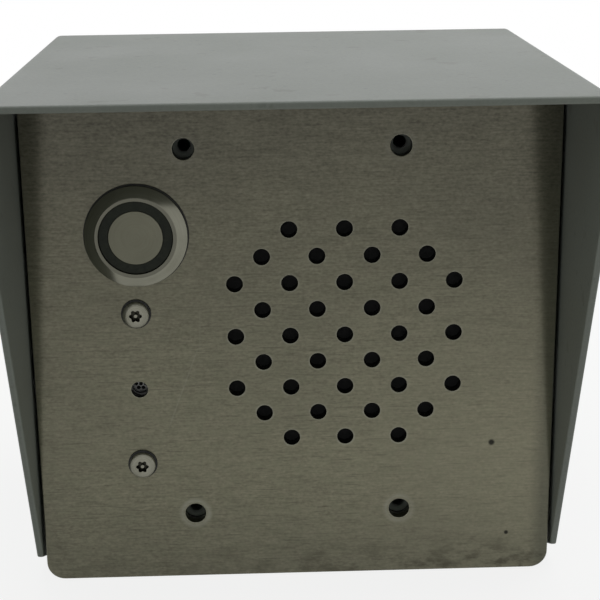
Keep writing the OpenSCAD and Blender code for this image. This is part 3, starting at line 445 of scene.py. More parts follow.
BLACK = finish_of("black_plastic", (0.014, 0.014, 0.015), (0.03, 0.03, 0.032), (0.42, 0.55), 1100.0, 8e-6)
CAN = finish_of("drawn_can", (0.16, 0.16, 0.15), (0.28, 0.28, 0.27), (0.3, 0.45), 500.0, 8e-6,
                metallic=1.0, spots=0.2)
CHROMATE = finish_of("basket_steel", (0.05, 0.052, 0.055), (0.10, 0.104, 0.108), (0.38, 0.5), 600.0, 1e-5,
                     metallic=0.6, spots=0.3)
FERRITE = finish_of("ferrite", (0.03, 0.03, 0.032), (0.06, 0.06, 0.063), (0.6, 0.75), 1300.0, 3e-5)
PAPER = finish_of("cone_paper", (0.016, 0.017, 0.018), (0.04, 0.041, 0.043), (0.75, 0.9), 1200.0, 5e-5)
SPIDER = finish_of("spider_cloth", (0.24, 0.15, 0.05), (0.42, 0.28, 0.11), (0.7, 0.85), 2000.0, 6e-5)
COPPER = finish_of("copper_winding", (0.28, 0.10, 0.035), (0.5, 0.21, 0.08), (0.25, 0.4),
                   (200.0, 5000.0, 200.0), 3e-5, metallic=1.0)
BRASS = finish_of("plated_brass", (0.38, 0.29, 0.11), (0.56, 0.45, 0.2), (0.25, 0.4), 600.0, 6e-6,
                  metallic=1.0, spots=0.3)
SHELL = finish_of("tinned_shell", (0.36, 0.36, 0.36), (0.55, 0.55, 0.55), (0.22, 0.36), 500.0, 6e-6,
                  metallic=1.0, spots=0.3)
BOARD = finish_of("solder_mask", (0.006, 0.055, 0.026), (0.016, 0.12, 0.055), (0.28, 0.42), 330.0, 2e-5,
                  spots=0.2)
GREEN = finish_of("green_plastic", (0.02, 0.14, 0.055), (0.04, 0.22, 0.09), (0.42, 0.55), 900.0, 1e-5)
BLUE = finish_of("blue_plastic", (0.012, 0.04, 0.17), (0.025, 0.07, 0.26), (0.3, 0.42), 900.0, 8e-6)
NYLON = finish_of("natural_nylon", (0.52, 0.50, 0.44), (0.7, 0.68, 0.61), (0.42, 0.55), 800.0, 1e-5)
RED_WIRE = finish_of("red_insulation", (0.2, 0.014, 0.010), (0.34, 0.03, 0.02), (0.35, 0.5), 700.0, 8e-6)
BLUE_WIRE = finish_of("blue_insulation", (0.015, 0.06, 0.22), (0.03, 0.10, 0.34), (0.35, 0.5), 700.0, 8e-6)
BLACK_WIRE = finish_of("black_insulation", (0.01, 0.01, 0.011), (0.025, 0.025, 0.027), (0.35, 0.5), 700.0,
                       8e-6)

CAD_FINISH = {
    "hood": PAINT, "back_panel": PAINT, "top_rail": RAIL_PAINT, "bottom_rail": RAIL_PAINT,
    "bottom_cover": PAINT, "side_screws": ZINC, "side_nuts": ZINC, "cable_bushing": RUBBER,
    "plate_gaskets": FOAM, "faceplate": PLATE, "weld_studs": ZINC,
    "button_bezel": BEZEL, "button_cap": CAP, "button_ring": LENS, "button_carrier": BLACK,
    "button_seal": RUBBER, "button_washer": ZINC, "button_nut": BRASS, "button_spring": ZINC,
    "button_contact_block": BLACK, "button_terminals": BRASS,
    "mic_boot": RUBBER, "mic_capsule": CAN, "mic_spacers": BLACK, "mic_clamp": ZINC,
    "torx_screws": SCREW, "screw_washers": RUBBER, "mic_nuts": ZINC,
    "speaker_mesh": CLOTH, "speaker_gasket": FOAM, "speaker_basket": CHROMATE,
    "speaker_top_plate": ZINC, "speaker_magnet": FERRITE, "speaker_yoke": ZINC,
    "speaker_surround": RUBBER, "speaker_spider": SPIDER, "speaker_cone": PAPER, "dust_cap": PAPER,
    "voice_coil": COPPER, "speaker_clamps": ZINC, "speaker_nuts": ZINC,
    "standoffs": BRASS, "main_board": BOARD, "board_screws": ZINC, "ethernet_jack": SHELL,
    "jack_contacts": BRASS, "terminal_block": GREEN, "terminal_screws": ZINC, "transformer": BLACK,
    "processor": BLACK, "relay": BLUE, "capacitors": BLACK, "reset_switch": SHELL,
    "reset_plunger": BLACK, "lead_headers": NYLON,
    "button_leads": RED_WIRE, "mic_leads": BLUE_WIRE, "speaker_leads": BLACK_WIRE,
}
for name, material in CAD_FINISH.items():
    mesh = NODES[name].data
    mesh.materials.clear()
    mesh.materials.append(material)


# Meshes
def start_mesh():
    bm = bmesh.new()
    bm.loops.layers.uv.new("grain")
    return bm


def shade(mesh, angle=32.0):
    mesh.shade_smooth()
    mesh.set_sharp_from_angle(angle=math.radians(angle))


def end_mesh(name, bm, angle=32.0):
    bmesh.ops.recalc_face_normals(bm, faces=bm.faces)
    mesh = bpy.data.meshes.new(name)
    bm.to_mesh(mesh)
    bm.free()
    shade(mesh, angle)
    return mesh


def evaluated_mesh(obj):
    """The mesh that an object gives with its modifiers or its curve's settings."""
    graph = bpy.context.evaluated_depsgraph_get()
    return bpy.data.meshes.new_from_object(obj.evaluated_get(graph))


def modified(mesh, kind, **settings):
    """The mesh with a modifier applied. It takes the place and name of the one without."""
    holder = bpy.data.objects.new("holder", mesh)
    SCENE.collection.objects.link(holder)
    step = holder.modifiers.new("step", kind)
    for key, value in settings.items():
        setattr(step, key, value)
    made = evaluated_mesh(holder)
    name = mesh.name
    bpy.data.objects.remove(holder)
    bpy.data.meshes.remove(mesh)
    made.name = name
    return made


def true_flats(mesh):
    """The mesh with its large faces shaded flat, so that only the small ones look round."""
    return modified(mesh, "WEIGHTED_NORMAL", mode="FACE_AREA", weight=100, keep_sharp=True)


def cut_away(mesh, cutter):
    """The mesh without the cutter's solids."""
    tool = bpy.data.objects.new("cut_tool", cutter)
    SCENE.collection.objects.link(tool)
    made = modified(mesh, "BOOLEAN", object=tool, operation="DIFFERENCE", solver="EXACT")
    bpy.data.objects.remove(tool)
    bpy.data.meshes.remove(cutter)
    shade(made)
    return made


def skin(bm, rings, closed=False):
    """Faces between rings of points. A ring of one point is a pole. U runs from ring to ring."""
    uv = bm.loops.layers.uv["grain"]
    made = [[bm.verts.new(p) for p in ring] for ring in rings]
    run = [0.0]
    for a, b in zip(rings, rings[1:] + rings[:1]):
        run.append(run[-1] + (b[0] - a[0]).length)
    if closed:
        made.append(made[0])
    for k, (a, b) in enumerate(zip(made, made[1:])):
        count = max(len(a), len(b))
        for i in range(count):
            corners = [(a, run[k], i), (b, run[k + 1], i), (b, run[k + 1], i + 1), (a, run[k], i + 1)]
            if len(a) == 1:
                corners = corners[:3]
            elif len(b) == 1:
                corners = [corners[0], corners[1], corners[3]]
            face = bm.faces.new([ring[c % len(ring)] for ring, _, c in corners])
            for loop, (_, along, c) in zip(face.loops, corners):
                loop[uv].uv = (along, c / count)


def bridge(bm, rows):
    """A closed solid through rows of points, with a face at each end."""
    count = len(rows[0])
    for a, b in zip(rows, rows[1:]):
        for i in range(count):
            j = (i + 1) % count
            bm.faces.new((a[i], a[j], b[j], b[i]))
    bm.faces.new(rows[0])
    bm.faces.new(rows[-1][::-1])


def full_turn(steps):
    return [2 * math.pi * i / steps for i in range(steps)]


def part_turn(degrees, steps):
    return [math.radians(degrees * k / steps) for k in range(steps + 1)]


def round_ring(u, v, d, radius, steps):
    """A ring of points about an axis through the plate. radius is a number or a function of the angle."""
    if not callable(radius):
        if radius < 1e-6:
            return [on_plate(u, v, d)]
        return round_ring(u, v, d, lambda _: radius, steps)
    return [on_plate(u + radius(a) * math.cos(a), v + radius(a) * math.sin(a), d) for a in full_turn(steps)]


def turn(bm, u, v, d, profile, steps=96):
    """A profile of radius and depth turned about an axis, closed unless it starts on the axis."""
    rings = [round_ring(u, v, d + s, r, steps) for r, s in profile]
    skin(bm, rings, closed=len(rings[0]) > 1)


def turned_mesh(name, u, v, d, profile, steps=96, dirt=None):
    """A turned mesh. Its last argument gives how much darker it is at a radius and a depth."""
    bm = start_mesh()
    soil = bm.verts.layers.float.new("dirt")
    turn(bm, u, v, d, profile, steps)
    if dirt:
        axis = on_plate(u, v, d)
        for vert in bm.verts:
            away = (vert.co - axis) / MM
            vert[soil] = dirt(math.hypot(away.x, away.z), away.y)
    return end_mesh(name, bm)


def bend(start, corner, end, steps):
    """Points of a rounded corner."""
    out = []
    for k in range(steps + 1):
        t = k / steps
        out.append(start * (1 - t) ** 2 + corner * 2 * t * (1 - t) + end * t * t)
    return out


def fillet(points, radius, steps=3, keep=()):
    """An outline with its corners rounded, apart from the corners whose numbers are in keep."""
    most = 0.45
    out = []
    for i, point in enumerate(points):
        here = Vector(point)
        back = Vector(points[i - 1]) - here
        ahead = Vector(points[(i + 1) % len(points)]) - here
        if i in keep:
            out.append(tuple(here))
            continue
        cut = min(radius / math.tan(back.angle(ahead) / 2), back.length * most, ahead.length * most)
        start = here + back.normalized() * cut
        end = here + ahead.normalized() * cut
        out += [tuple(p) for p in bend(start, here, end, steps)]
    return out


def rounded_path(points, radius, steps=5):
    """A path through points with its bends rounded."""
    most = 0.48
    out = [points[0]]
    for a, b, c in zip(points, points[1:], points[2:]):
        cut = min(radius, (a - b).length * most, (c - b).length * most)
        out += bend(b + (a - b).normalized() * cut, b, b + (c - b).normalized() * cut, steps)
    return out + [points[-1]]


def threads(r, depth, start, end, pitch):
    """The zigzag of a thread, from one depth to another."""
    count = int(abs(end - start) / pitch)
    step = (end - start) / count
    out = []
    for k in range(count):
        out += [(r, start + k * step), (r - depth, start + (k + 0.5) * step)]
    return out + [(r, end)]


def circle(u, v, r, steps=48):
    return [(u + r * math.cos(a), v + r * math.sin(a)) for a in full_turn(steps)]


def rounded_rect(u0, v0, u1, v1, r, steps=10):
    out = []
    middles = ((u1 - r, v1 - r), (u0 + r, v1 - r), (u0 + r, v0 + r), (u1 - r, v0 + r))
    for i, (cu, cv) in enumerate(middles):
        for k in range(steps + 1):
            t = math.radians(90 * i + 90 * k / steps)
            out.append((cu + r * math.cos(t), cv + r * math.sin(t)))
    return out


# Size of a normal's Y on a sheet: at most this on a hole's wall, between these on a rounded edge, and at
# least this on a flat
WALL_MOST, EDGE_LEAST, EDGE_MOST, FLAT_LEAST = 0.3, 0.05, 0.98, 0.999
# Width along a sheet's outline that holds no hole
OUTER_RIM = 0.7


def flat_sheet(name, outlines, d0, d1, edge, rounds=2, walls=None):
    """Outlines in u and v, the holes among them, filled from depth d0 to d1 with rounded edges.

    walls gives how much painted shade a hole's wall has at a place in u and v."""
    curve = bpy.data.curves.new(name, "CURVE")
    curve.dimensions = "2D"
    curve.fill_mode = "BOTH"
    curve.extrude = ((d1 - d0) / 2 - edge) * MM
    curve.bevel_depth = edge * MM
    curve.bevel_resolution = rounds
    curve.offset = -edge * MM
    for outline in outlines:
        spline = curve.splines.new("POLY")
        spline.points.add(len(outline) - 1)
        spline.use_cyclic_u = True
        for point, (u, v) in zip(spline.points, outline):
            point.co = (u * MM, v * MM, 0.0, 1.0)
    shape = bpy.data.objects.new(name, curve)
    SCENE.collection.objects.link(shape)
    flat = evaluated_mesh(shape)
    bpy.data.objects.remove(shape)
    bpy.data.curves.remove(curve)
    bm = start_mesh()
    bm.from_mesh(flat)
    bpy.data.meshes.remove(flat)
    bmesh.ops.remove_doubles(bm, verts=bm.verts, dist=1e-7)
    upright = Matrix(((1, 0, 0, 0), (0, 0, 1, 0), (0, 1, 0, 0), (0, 0, 0, 1)))
    bm.transform(Matrix.Translation(on_plate(0, 0, (d0 + d1) / 2)) @ upright)
    bmesh.ops.recalc_face_normals(bm, faces=bm.faces)
    worn = bm.verts.layers.float.new("edge")
    hole_wall = bm.faces.layers.float.new("wall")
    uv = bm.loops.layers.uv["grain"]
    rim = max(abs(vert.co.x) for vert in bm.verts) - OUTER_RIM * MM
    for face in bm.faces:
        middle = face.calc_center_median()
        inside = abs(middle.x) < rim and middle.z > OUTER_RIM * MM
        if walls and inside and abs(face.normal.y) < WALL_MOST:
            face[hole_wall] = walls(middle.x / MM, middle.z / MM - MID_Z)
        for loop in face.loops:
            loop[uv].uv = (loop.vert.co.z, loop.vert.co.x)
    for vert in bm.verts:
        if all(EDGE_LEAST < abs(face.normal.y) < EDGE_MOST for face in vert.link_faces):
            vert[worn] = 1.0
    sheet = end_mesh(name, bm)
    for face in sheet.polygons:
        face.use_smooth = abs(face.normal.y) < FLAT_LEAST
    return sheet


def tube(bm, path, radius, sides=14):
    """A round wire along a path, with its ends closed."""
    side = Vector((0.31, 0.2, 0.93))
    rings = [[path[0]]]
    for i, point in enumerate(path):
        ahead = (path[min(i + 1, len(path) - 1)] - path[max(i - 1, 0)]).normalized()
        side = (side - ahead * side.dot(ahead)).normalized()
        up = ahead.cross(side)
        rings.append([point + (side * math.cos(a) + up * math.sin(a)) * radius for a in full_turn(sides)])
    skin(bm, rings + [[path[-1]]])


# Pieces
def piece(name, mesh, material, stands_for, body="panel"):
    """A new piece in place of a CAD node. Without a body it still has to be blended between two."""
    obj = bpy.data.objects.new(name, mesh)
    SCENE.collection.objects.link(obj)
    mesh.materials.append(material)
    if body:
        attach(obj, body)
    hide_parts(stands_for)
    return obj


def turned_piece(name, spot, d, profile, material, slot, stands_for, body="panel", **turning):
    """A piece turned about the axis at a spot of the plate. The profile's depths count from d."""
    return piece(name, turned_mesh(name, *spot, d, profile, **turning), material, stands_for, body)


# The hood: one sheet folded over the plate, with slanting wings
HOOD_W, HOOD_H, HOOD_T, FOLD_R, HOOD_EDGE_R = 119.0, 114.4, 1.5, 0.8, 0.45
HOOD_FRONT, HOOD_BACK = -58.5, 58.5
BROW_Z, TIP_Y, TIP_Z, TOE_Y = 99.4, FACE_Y + 0.8, 5.2, FACE_Y + 13.0
# Depth and height of the side screws, and the countersink's radius at each depth into the wing
SIDE_SPOTS = [(13.5, 41.87), (13.5, -41.87), (28.0, -49.2), (69.45, -49.2)]
SIDE_SINK = [(0.0, -1.0), (2.8, -1.0), (2.8, 0.0), (1.55, 1.25), (1.55, 3.0), (0.0, 3.0)]
SINK_STEPS = 40


def wing_front(z):
    """The wing's front edge at a height."""
    if z >= BROW_Z:
        return HOOD_FRONT
    if z >= TIP_Z:
        return TIP_Y + (HOOD_FRONT - TIP_Y) * (z - TIP_Z) / (BROW_Z - TIP_Z)
    return TOE_Y + (TIP_Y - TOE_Y) * z / TIP_Z


def hood_section():
    """Pairs of an outer and an inner point, in X and Z, from wing to wing."""
    fold_out = FOLD_R + HOOD_T
    fold_x = HOOD_W / 2 - fold_out
    fold_z = HOOD_H - fold_out
    half = []
    for z in (0.0, TIP_Z, 20.0, 45.0, 72.0, BROW_Z, 106.0):
        half.append(((HOOD_W / 2, z), (HOOD_W / 2 - HOOD_T, z)))
    for a in part_turn(90, 8):
        half.append(((fold_x + fold_out * math.cos(a), fold_z + fold_out * math.sin(a)),
                     (fold_x + FOLD_R * math.cos(a), fold_z + FOLD_R * math.sin(a))))
    for x in (40.0, 20.0):
        half.append(((x, HOOD_H), (x, HOOD_H - HOOD_T)))
    other = [tuple((-x, z) for x, z in pair) for pair in reversed(half)]
    return half + [((0.0, HOOD_H), (0.0, HOOD_H - HOOD_T))] + other


def side_sinks():
    """Solids that cut the countersunk screw holes into the wings."""
    cuts = start_mesh()
    for side in (-1, 1):
        for d, v in SIDE_SPOTS:
            rings = []
            for r, depth in SIDE_SINK:
                x = side * (HOOD_W / 2 - depth)
                turns = full_turn(SINK_STEPS) if r else [0.0]
                rings.append([Vector((x, FACE_Y + d + r * math.cos(a), MID_Z + v + r * math.sin(a))) * MM
                              for a in turns])
            skin(cuts, rings)
    return end_mesh("hood_cuts", cuts)


def hood_mesh():
    """The folded sheet with rounded edges, which count as rubbed, and with its screw holes."""
    bm = start_mesh()
    worn = bm.verts.layers.float.new("edge")
    rows = []
    for outer, inner in hood_section():
        front = wing_front(outer[1])
        corners = ((outer, front), (outer, HOOD_BACK), (inner, HOOD_BACK), (inner, front))
        rows.append([bm.verts.new(Vector((p[0], y, p[1])) * MM) for p, y in corners])
    bridge(bm, rows)
    bmesh.ops.recalc_face_normals(bm, faces=bm.faces)
    rim = [e for e in bm.edges if len(e.link_faces) == 2 and e.calc_face_angle() > math.radians(40)]
    rounded = bmesh.ops.bevel(bm, geom=rim, offset=HOOD_EDGE_R * MM, segments=4, affect="EDGES", profile=0.5)
    curved = set(rounded["faces"])
    for vert in rounded["verts"]:
        if curved.issuperset(vert.link_faces):
            vert[worn] = 1.0
    sheet = cut_away(end_mesh("hood_sheet", bm), side_sinks())
    # The cut marks the rims of the holes as edges too, which the flats must not show
    worn = sheet.attributes["edge"].data
    for face in sheet.polygons:
        if max(abs(face.normal.x), abs(face.normal.z)) > 0.9999:
            for corner in face.vertices:
                worn[corner].value = 0.0
    return true_flats(sheet)


piece("hood_sheet", hood_mesh(), PAINT, "hood")

# Faceplate
PLATE_SIDE, PLATE_LOW, PLATE_TOP, PLATE_CORNER_R, PLATE_EDGE_R = 57.2, -57.2, 55.0, 4.0, 0.18
FIXING_R, SOUND_HOLE_R, BUTTON_HOLE_R, MIC_HOLE_R, SCREW_HOLE_R = 2.3, 1.78, 9.6, 1.8, 1.6
# Strength of the painted shade on the walls of the fixing holes and of the other holes
FIXING_WALL_SHADE, OTHER_WALL_SHADE = 0.72, 1.0
GRILLE_RANGE = range(-GRILLE_REACH, GRILLE_REACH + 1)
GRILLE = [(SPEAKER[0] + i * GRILLE_STEP, SPEAKER[1] + j * GRILLE_STEP)
          for i in GRILLE_RANGE for j in GRILLE_RANGE
          if (i + j) % 2 == 0 and abs(i) + abs(j) <= GRILLE_BOTH]
plate_outlines = [rounded_rect(-PLATE_SIDE, PLATE_LOW, PLATE_SIDE, PLATE_TOP, PLATE_CORNER_R)]
plate_outlines += [circle(u, v, FIXING_R) for u, v in FIXINGS]
plate_outlines += [circle(u, v, SOUND_HOLE_R) for u, v in GRILLE]
plate_outlines += [circle(*BUTTON, BUTTON_HOLE_R, 96), circle(*MIC, MIC_HOLE_R)]
plate_outlines += [circle(u, v, SCREW_HOLE_R) for u, v in MIC_SCREWS]


# How much painted shade a hole's wall has
def wall_dirt(u, v):
    fixing = min(math.hypot(u - x, v - z) for x, z in FIXINGS) < 3.0
    return FIXING_WALL_SHADE if fixing else OTHER_WALL_SHADE


plate_mesh = flat_sheet("plate_sheet", plate_outlines, FRONT_D, BACK_D, PLATE_EDGE_R, walls=wall_dirt)
piece("plate_sheet", plate_mesh, PLATE, "faceplate")

# Push button. Profiles are points of radius and depth, here and below
FINE_STEPS = 128
SLOPE_OUT_D, SLOPE_IN_R, BEZEL_DARKENING = -1.3, 8.75, 0.5
bezel = fillet([
    (11.0, -0.45), (11.0, SLOPE_OUT_D), (8.85, -2.5), (8.65, -2.6),
    (7.95, -2.6), (7.95, 2.9), (8.5, 2.9), (8.5, 18.0),
], 0.09)
bezel += threads(9.4, 0.35, 17.6, 3.4, 1.0) + [(9.4, -0.45)]
cap = [(0.0, -2.35), (5.8, -2.35), (5.8, 0.25), (2.0, 0.25), (2.0, 4.0), (0.0, 4.0)]
cap = fillet(cap, 0.12, keep=(0, 5))
lens = fillet([(5.85, -2.25), (7.85, -2.25), (7.85, 2.95), (2.05, 2.95), (2.05, 0.25), (5.85, 0.25)], 0.12)
seal = fillet([(9.45, -0.45), (11.25, -0.45), (11.25, 0.0), (9.45, 0.0)], 0.12)


def bezel_dirt(r, s):
    """Darker everywhere but on the bright slope: painted shade on the side wall, and a darker inner lip."""
    if s > SLOPE_OUT_D:
        return BEZEL_DARKENING
    return BEZEL_DARKENING if r < SLOPE_IN_R else 0.0


turned_piece("bezel_turned", BUTTON, FRONT_D, bezel, BEZEL, "button_steel", "button_bezel",
             steps=FINE_STEPS, dirt=bezel_dirt)
turned_piece("cap_turned", BUTTON, FRONT_D, cap, CAP, "button_steel", "button_cap", "button",
             steps=FINE_STEPS)
turned_piece("lens_ring", BUTTON, FRONT_D, lens, LENS, "lens", "button_ring", "button", steps=FINE_STEPS)
turned_piece("seal_ring", BUTTON, FRONT_D, seal, RUBBER, "rubber", "button_seal")

SPRING_TURNS, SPRING_START, SPRING_END, SPRING_R, SPRING_WIRE_R = 5, 4.75, 11.5, 5, 0.45


def spring_mesh():
    count = SPRING_TURNS * 28
    path = []
    for i in range(count + 1):
        a = 2 * math.pi * SPRING_TURNS * i / count
        depth = SPRING_START + (SPRING_END - SPRING_START) * i / count
        path.append(on_plate(BUTTON[0] + SPRING_R * math.cos(a), BUTTON[1] + SPRING_R * math.sin(a), depth))
    bm = start_mesh()
    tube(bm, path, SPRING_WIRE_R * MM, 10)
    return end_mesh("spring_coil", bm)


spring = piece("spring_coil", spring_mesh(), ZINC, "button_spring")
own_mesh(spring)


# Security screws: button heads with a six-lobe recess and a pin, on threaded shanks
def lobes(scale):
    """The recess's outline, as a radius for each angle."""
    return lambda a: scale * (1.2 + 0.19 * math.cos(6 * a))


SCREW_STEPS = 96
SCREW_SEAL_T = 0.4
screw = [
    (0.0, -1.5), (0.34, -1.5), (0.42, -1.42), (0.42, -0.5),
    (lobes(0.92), -0.45), (lobes(0.97), -0.55), (lobes(0.985), -1.5), (lobes(1.05), -1.6),
]
screw += [(1.4 + 1.38 * t, -1.63 + 0.6 * t ** 2.2) for t in (k / 10 for k in range(11))]
screw += [(2.83, -0.95), (2.85, -0.85), (2.85, -0.06), (2.79, 0.0), (1.5, 0.0)]
screw += threads(1.5, 0.22, 3.2, 13.7, 0.5) + [(1.2, 14.2), (0.0, 14.2)]
# After the one point on the axis, these rings of points are the recess's walls and floor
RECESS_FIRST, RECESS_END = 1 + 2 * SCREW_STEPS, 1 + 6 * SCREW_STEPS


def screw_mesh():
    """Both screws, their heads raised by the seals and painted shade in their recesses."""
    bm = start_mesh()
    dirt = bm.verts.layers.float.new("dirt")
    for u, v in MIC_SCREWS:
        before = len(bm.verts)
        skin(bm, [round_ring(u, v, d - SCREW_SEAL_T * (d < 0.1), r, SCREW_STEPS) for r, d in screw])
        bm.verts.ensure_lookup_table()
        for vert in bm.verts[before + RECESS_FIRST:before + RECESS_END]:
            vert[dirt] = 1.0
    return end_mesh("security_screws", bm, 40.0)


piece("security_screws", screw_mesh(), SCREW, "torx_screws")
screw_seal = fillet([(1.55, -SCREW_SEAL_T), (3.25, -SCREW_SEAL_T), (3.25, 0.0), (1.55, 0.0)], 0.12)
washers = start_mesh()
for u, v in MIC_SCREWS:
    turn(washers, u, v, FRONT_D, screw_seal, 64)
piece("screw_seals", end_mesh("screw_seals", washers), RUBBER, "screw_washers")

# Microphone
MIC_D = 4.0
SIEVE_T, SIEVE_R, SIEVE_HOLE_R, SIEVE_RING_R, SIEVE_STEPS = 0.25, 3.88, 0.42, 1.05, 24
boot = fillet([(1.8, 0.0), (6.45, 0.0), (6.45, 6.5), (4.9, 6.5), (4.9, 1.0), (1.8, 1.0)], 0.25)
turned_piece("mic_boot_rubber", MIC, BACK_D, boot, RUBBER, "rubber", "mic_boot")
can = fillet([(3.9, 0.02), (4.85, 0.02), (4.85, 4.3), (4.5, 4.5), (4.0, 4.5), (4.0, 4.2), (3.9, 4.2)], 0.12)
turned_piece("mic_can", MIC, MIC_D, can, CAN, "capsule", "mic_capsule")
sieve = [circle(*MIC, SIEVE_R, 64), circle(*MIC, SIEVE_HOLE_R, SIEVE_STEPS)]
for a in (math.radians(60 * k) for k in range(6)):
    hole_u, hole_v = MIC[0] + SIEVE_RING_R * math.cos(a), MIC[1] + SIEVE_RING_R * math.sin(a)
    sieve.append(circle(hole_u, hole_v, SIEVE_HOLE_R, SIEVE_STEPS))
sieve_mesh = flat_sheet("mic_face", sieve, MIC_D, MIC_D + SIEVE_T, 0.04)
piece("mic_face", sieve_mesh, CAN, "mic_capsule")
felt = fillet([(0.0, 0.3), (3.85, 0.3), (3.85, 4.1), (0.0, 4.1)], 0.15, keep=(0, 3))
turned_piece("mic_felt", MIC, MIC_D, felt, CLOTH, "mesh", "mic_capsule")

# Foam and rubber
STRIP_SIDE, STRIP_IN, STRIP_OUT, STRIP_T, STRIP_HOLE_R = 53.95, 36.87, 46.87, 1.5, 2.6
CABLE, WALL_D = (0.0, -18.0), 79.0
strips = []
for side in (-1, 1):
    low, high = sorted((side * STRIP_IN, side * STRIP_OUT))
    strips.append(rounded_rect(-STRIP_SIDE, low, STRIP_SIDE, high, 0.5, 4))
strips += [circle(u, v, STRIP_HOLE_R) for u, v in FIXINGS]
strip_mesh = flat_sheet("foam_strips", strips, BACK_D, BACK_D + STRIP_T, 0.35)
foam = piece("foam_strips", strip_mesh, FOAM, "plate_gaskets")
ring = fillet([(29.5, 0.0), (33.0, 0.0), (33.0, 2.5), (29.5, 2.5)], 0.45)
foam_ring = turned_piece("foam_ring", SPEAKER, BACK_D, ring, FOAM, "rubber", "speaker_gasket",
                         steps=FINE_STEPS)
grommet = fillet([(8.0, 0.0), (10.95, 0.0), (10.95, -1.5), (13.5, -1.5), (13.5, -4.5), (8.0, -4.5)], 0.5)
turned_piece("cable_grommet", CABLE, WALL_D, grommet, RUBBER, "rubber", "cable_bushing")

# Loudspeaker. Its depths count from the front of the basket's flange
FLANGE_D = 5.5
SECTORS, SECTOR_STEPS = 12, 10
NECK_R, CONE_R, CONE_LIP_R, LAND_R = 6.55, 22.9, 24.2, 29.4
SPIDER_R, LEDGE_R, SPIDER_WAVES, SPIDER_WAVE_H, SPIDER_S = 19.0, 19.4, 3, 0.35, 7.0
ROLL_MID_R, ROLL_MID_S, ROLL_IN_R, ROLL_OUT_R = 25.85, -0.2, 1.3, 1.7
CONE_H, CONE_T, SOFT_T = 5.0, 0.5, 0.4
DOME_R, DOME_H, DOME_S = 8.0, 2.2, 4.0


def speaker_point(r, a, s):
    return on_plate(SPEAKER[0] + r * math.cos(a), SPEAKER[1] + r * math.sin(a), FLANGE_D + s)


def sector_mesh(name, profile, index):
    """One of the equal sectors of a ring about the loudspeaker's axis."""
    bm = start_mesh()
    rows = []
    for k in range(SECTOR_STEPS + 1):
        a = 2 * math.pi * (index + k / SECTOR_STEPS) / SECTORS
        rows.append([bm.verts.new(speaker_point(r, a, s)) for r, s in profile])
    bridge(bm, rows)
    return end_mesh(name, bm)


def flexing_ring(name, profile, material, stands_for):
    """A soft ring of equal sectors about the loudspeaker's axis, each a piece with no body."""
    for k in range(SECTORS):
        label = "%s_%02d" % (name, k)
        part = piece(label, sector_mesh(label, profile, k), material, stands_for, None)
        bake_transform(part)


def roll_arc(radius, turns):
    return [(ROLL_MID_R + radius * math.cos(a), ROLL_MID_S - radius * math.sin(a)) for a in turns]


half_turn = part_turn(180, 16)
surround = [(CONE_R, -SOFT_T), (CONE_R, 0.0)] + roll_arc(ROLL_IN_R, reversed(half_turn))
surround += [(LAND_R, 0.0), (LAND_R, -SOFT_T)] + roll_arc(ROLL_OUT_R, half_turn)
flexing_ring("surround_roll", surround, RUBBER, "speaker_surround")
radii = [NECK_R + (SPIDER_R - NECK_R) * k / 48 for k in range(49)]
waves = [SPIDER_S - SPIDER_WAVE_H * math.sin(2 * math.pi * SPIDER_WAVES * (LEDGE_R - r) / (LEDGE_R - NECK_R))
         for r in radii]
front = list(zip(radii, waves))
spider = front + [(r, s + SOFT_T) for r, s in reversed(front)]
flexing_ring("spider_cloth", spider, SPIDER, "speaker_spider")
slope = [(NECK_R + (CONE_R - NECK_R) * k / 10, CONE_H * (1 - k / 10)) for k in range(11)]
cone = slope + [(CONE_LIP_R, 0.0), (CONE_LIP_R, CONE_T)] + [(r, s + CONE_T) for r, s in reversed(slope)]
turned_piece("cone_paper", SPEAKER, FLANGE_D, cone, PAPER, "cone", "speaker_cone", "speaker_diaphragm",
             steps=FINE_STEPS)
quarter_turn = part_turn(90, 14)
dome = [(DOME_R * math.sin(a), DOME_S - DOME_H * math.cos(a)) for a in quarter_turn]
dome += [(DOME_R * math.sin(a), DOME_S + SOFT_T - DOME_H * math.cos(a)) for a in reversed(quarter_turn)]
turned_piece("dust_dome", SPEAKER, FLANGE_D, dome, PAPER, "cone", "dust_cap", "speaker_diaphragm")

# Leads, as routes of u, v and d from each part to the board's headers
LEAD_R, LEAD_BEND_R, LEAD_SIDE = 0.6, 2.5, 1.2
LEAD_END_D = 35.4
TAG_U, TAG_V, TAG_D = 3.5, 3.0, 28.1
BUTTON_HEADER_U, BUTTON_HEADER_V = -14, 27.0
# Sides of the button's four tags, how far behind them each lead turns, and its place on the header
BUTTON_LANES = ((-1, 1, 4.0, 3.6), (1, 1, 1.5, 1.2), (1, -1, 1.5, -1.2), (-1, -1, 4.0, -3.6))


def lead_mesh(name, routes):
    bm = start_mesh()
    for route in routes:
        tube(bm, rounded_path([on_plate(*p) for p in route], LEAD_BEND_R * MM), LEAD_R * MM)
    return end_mesh(name, bm)


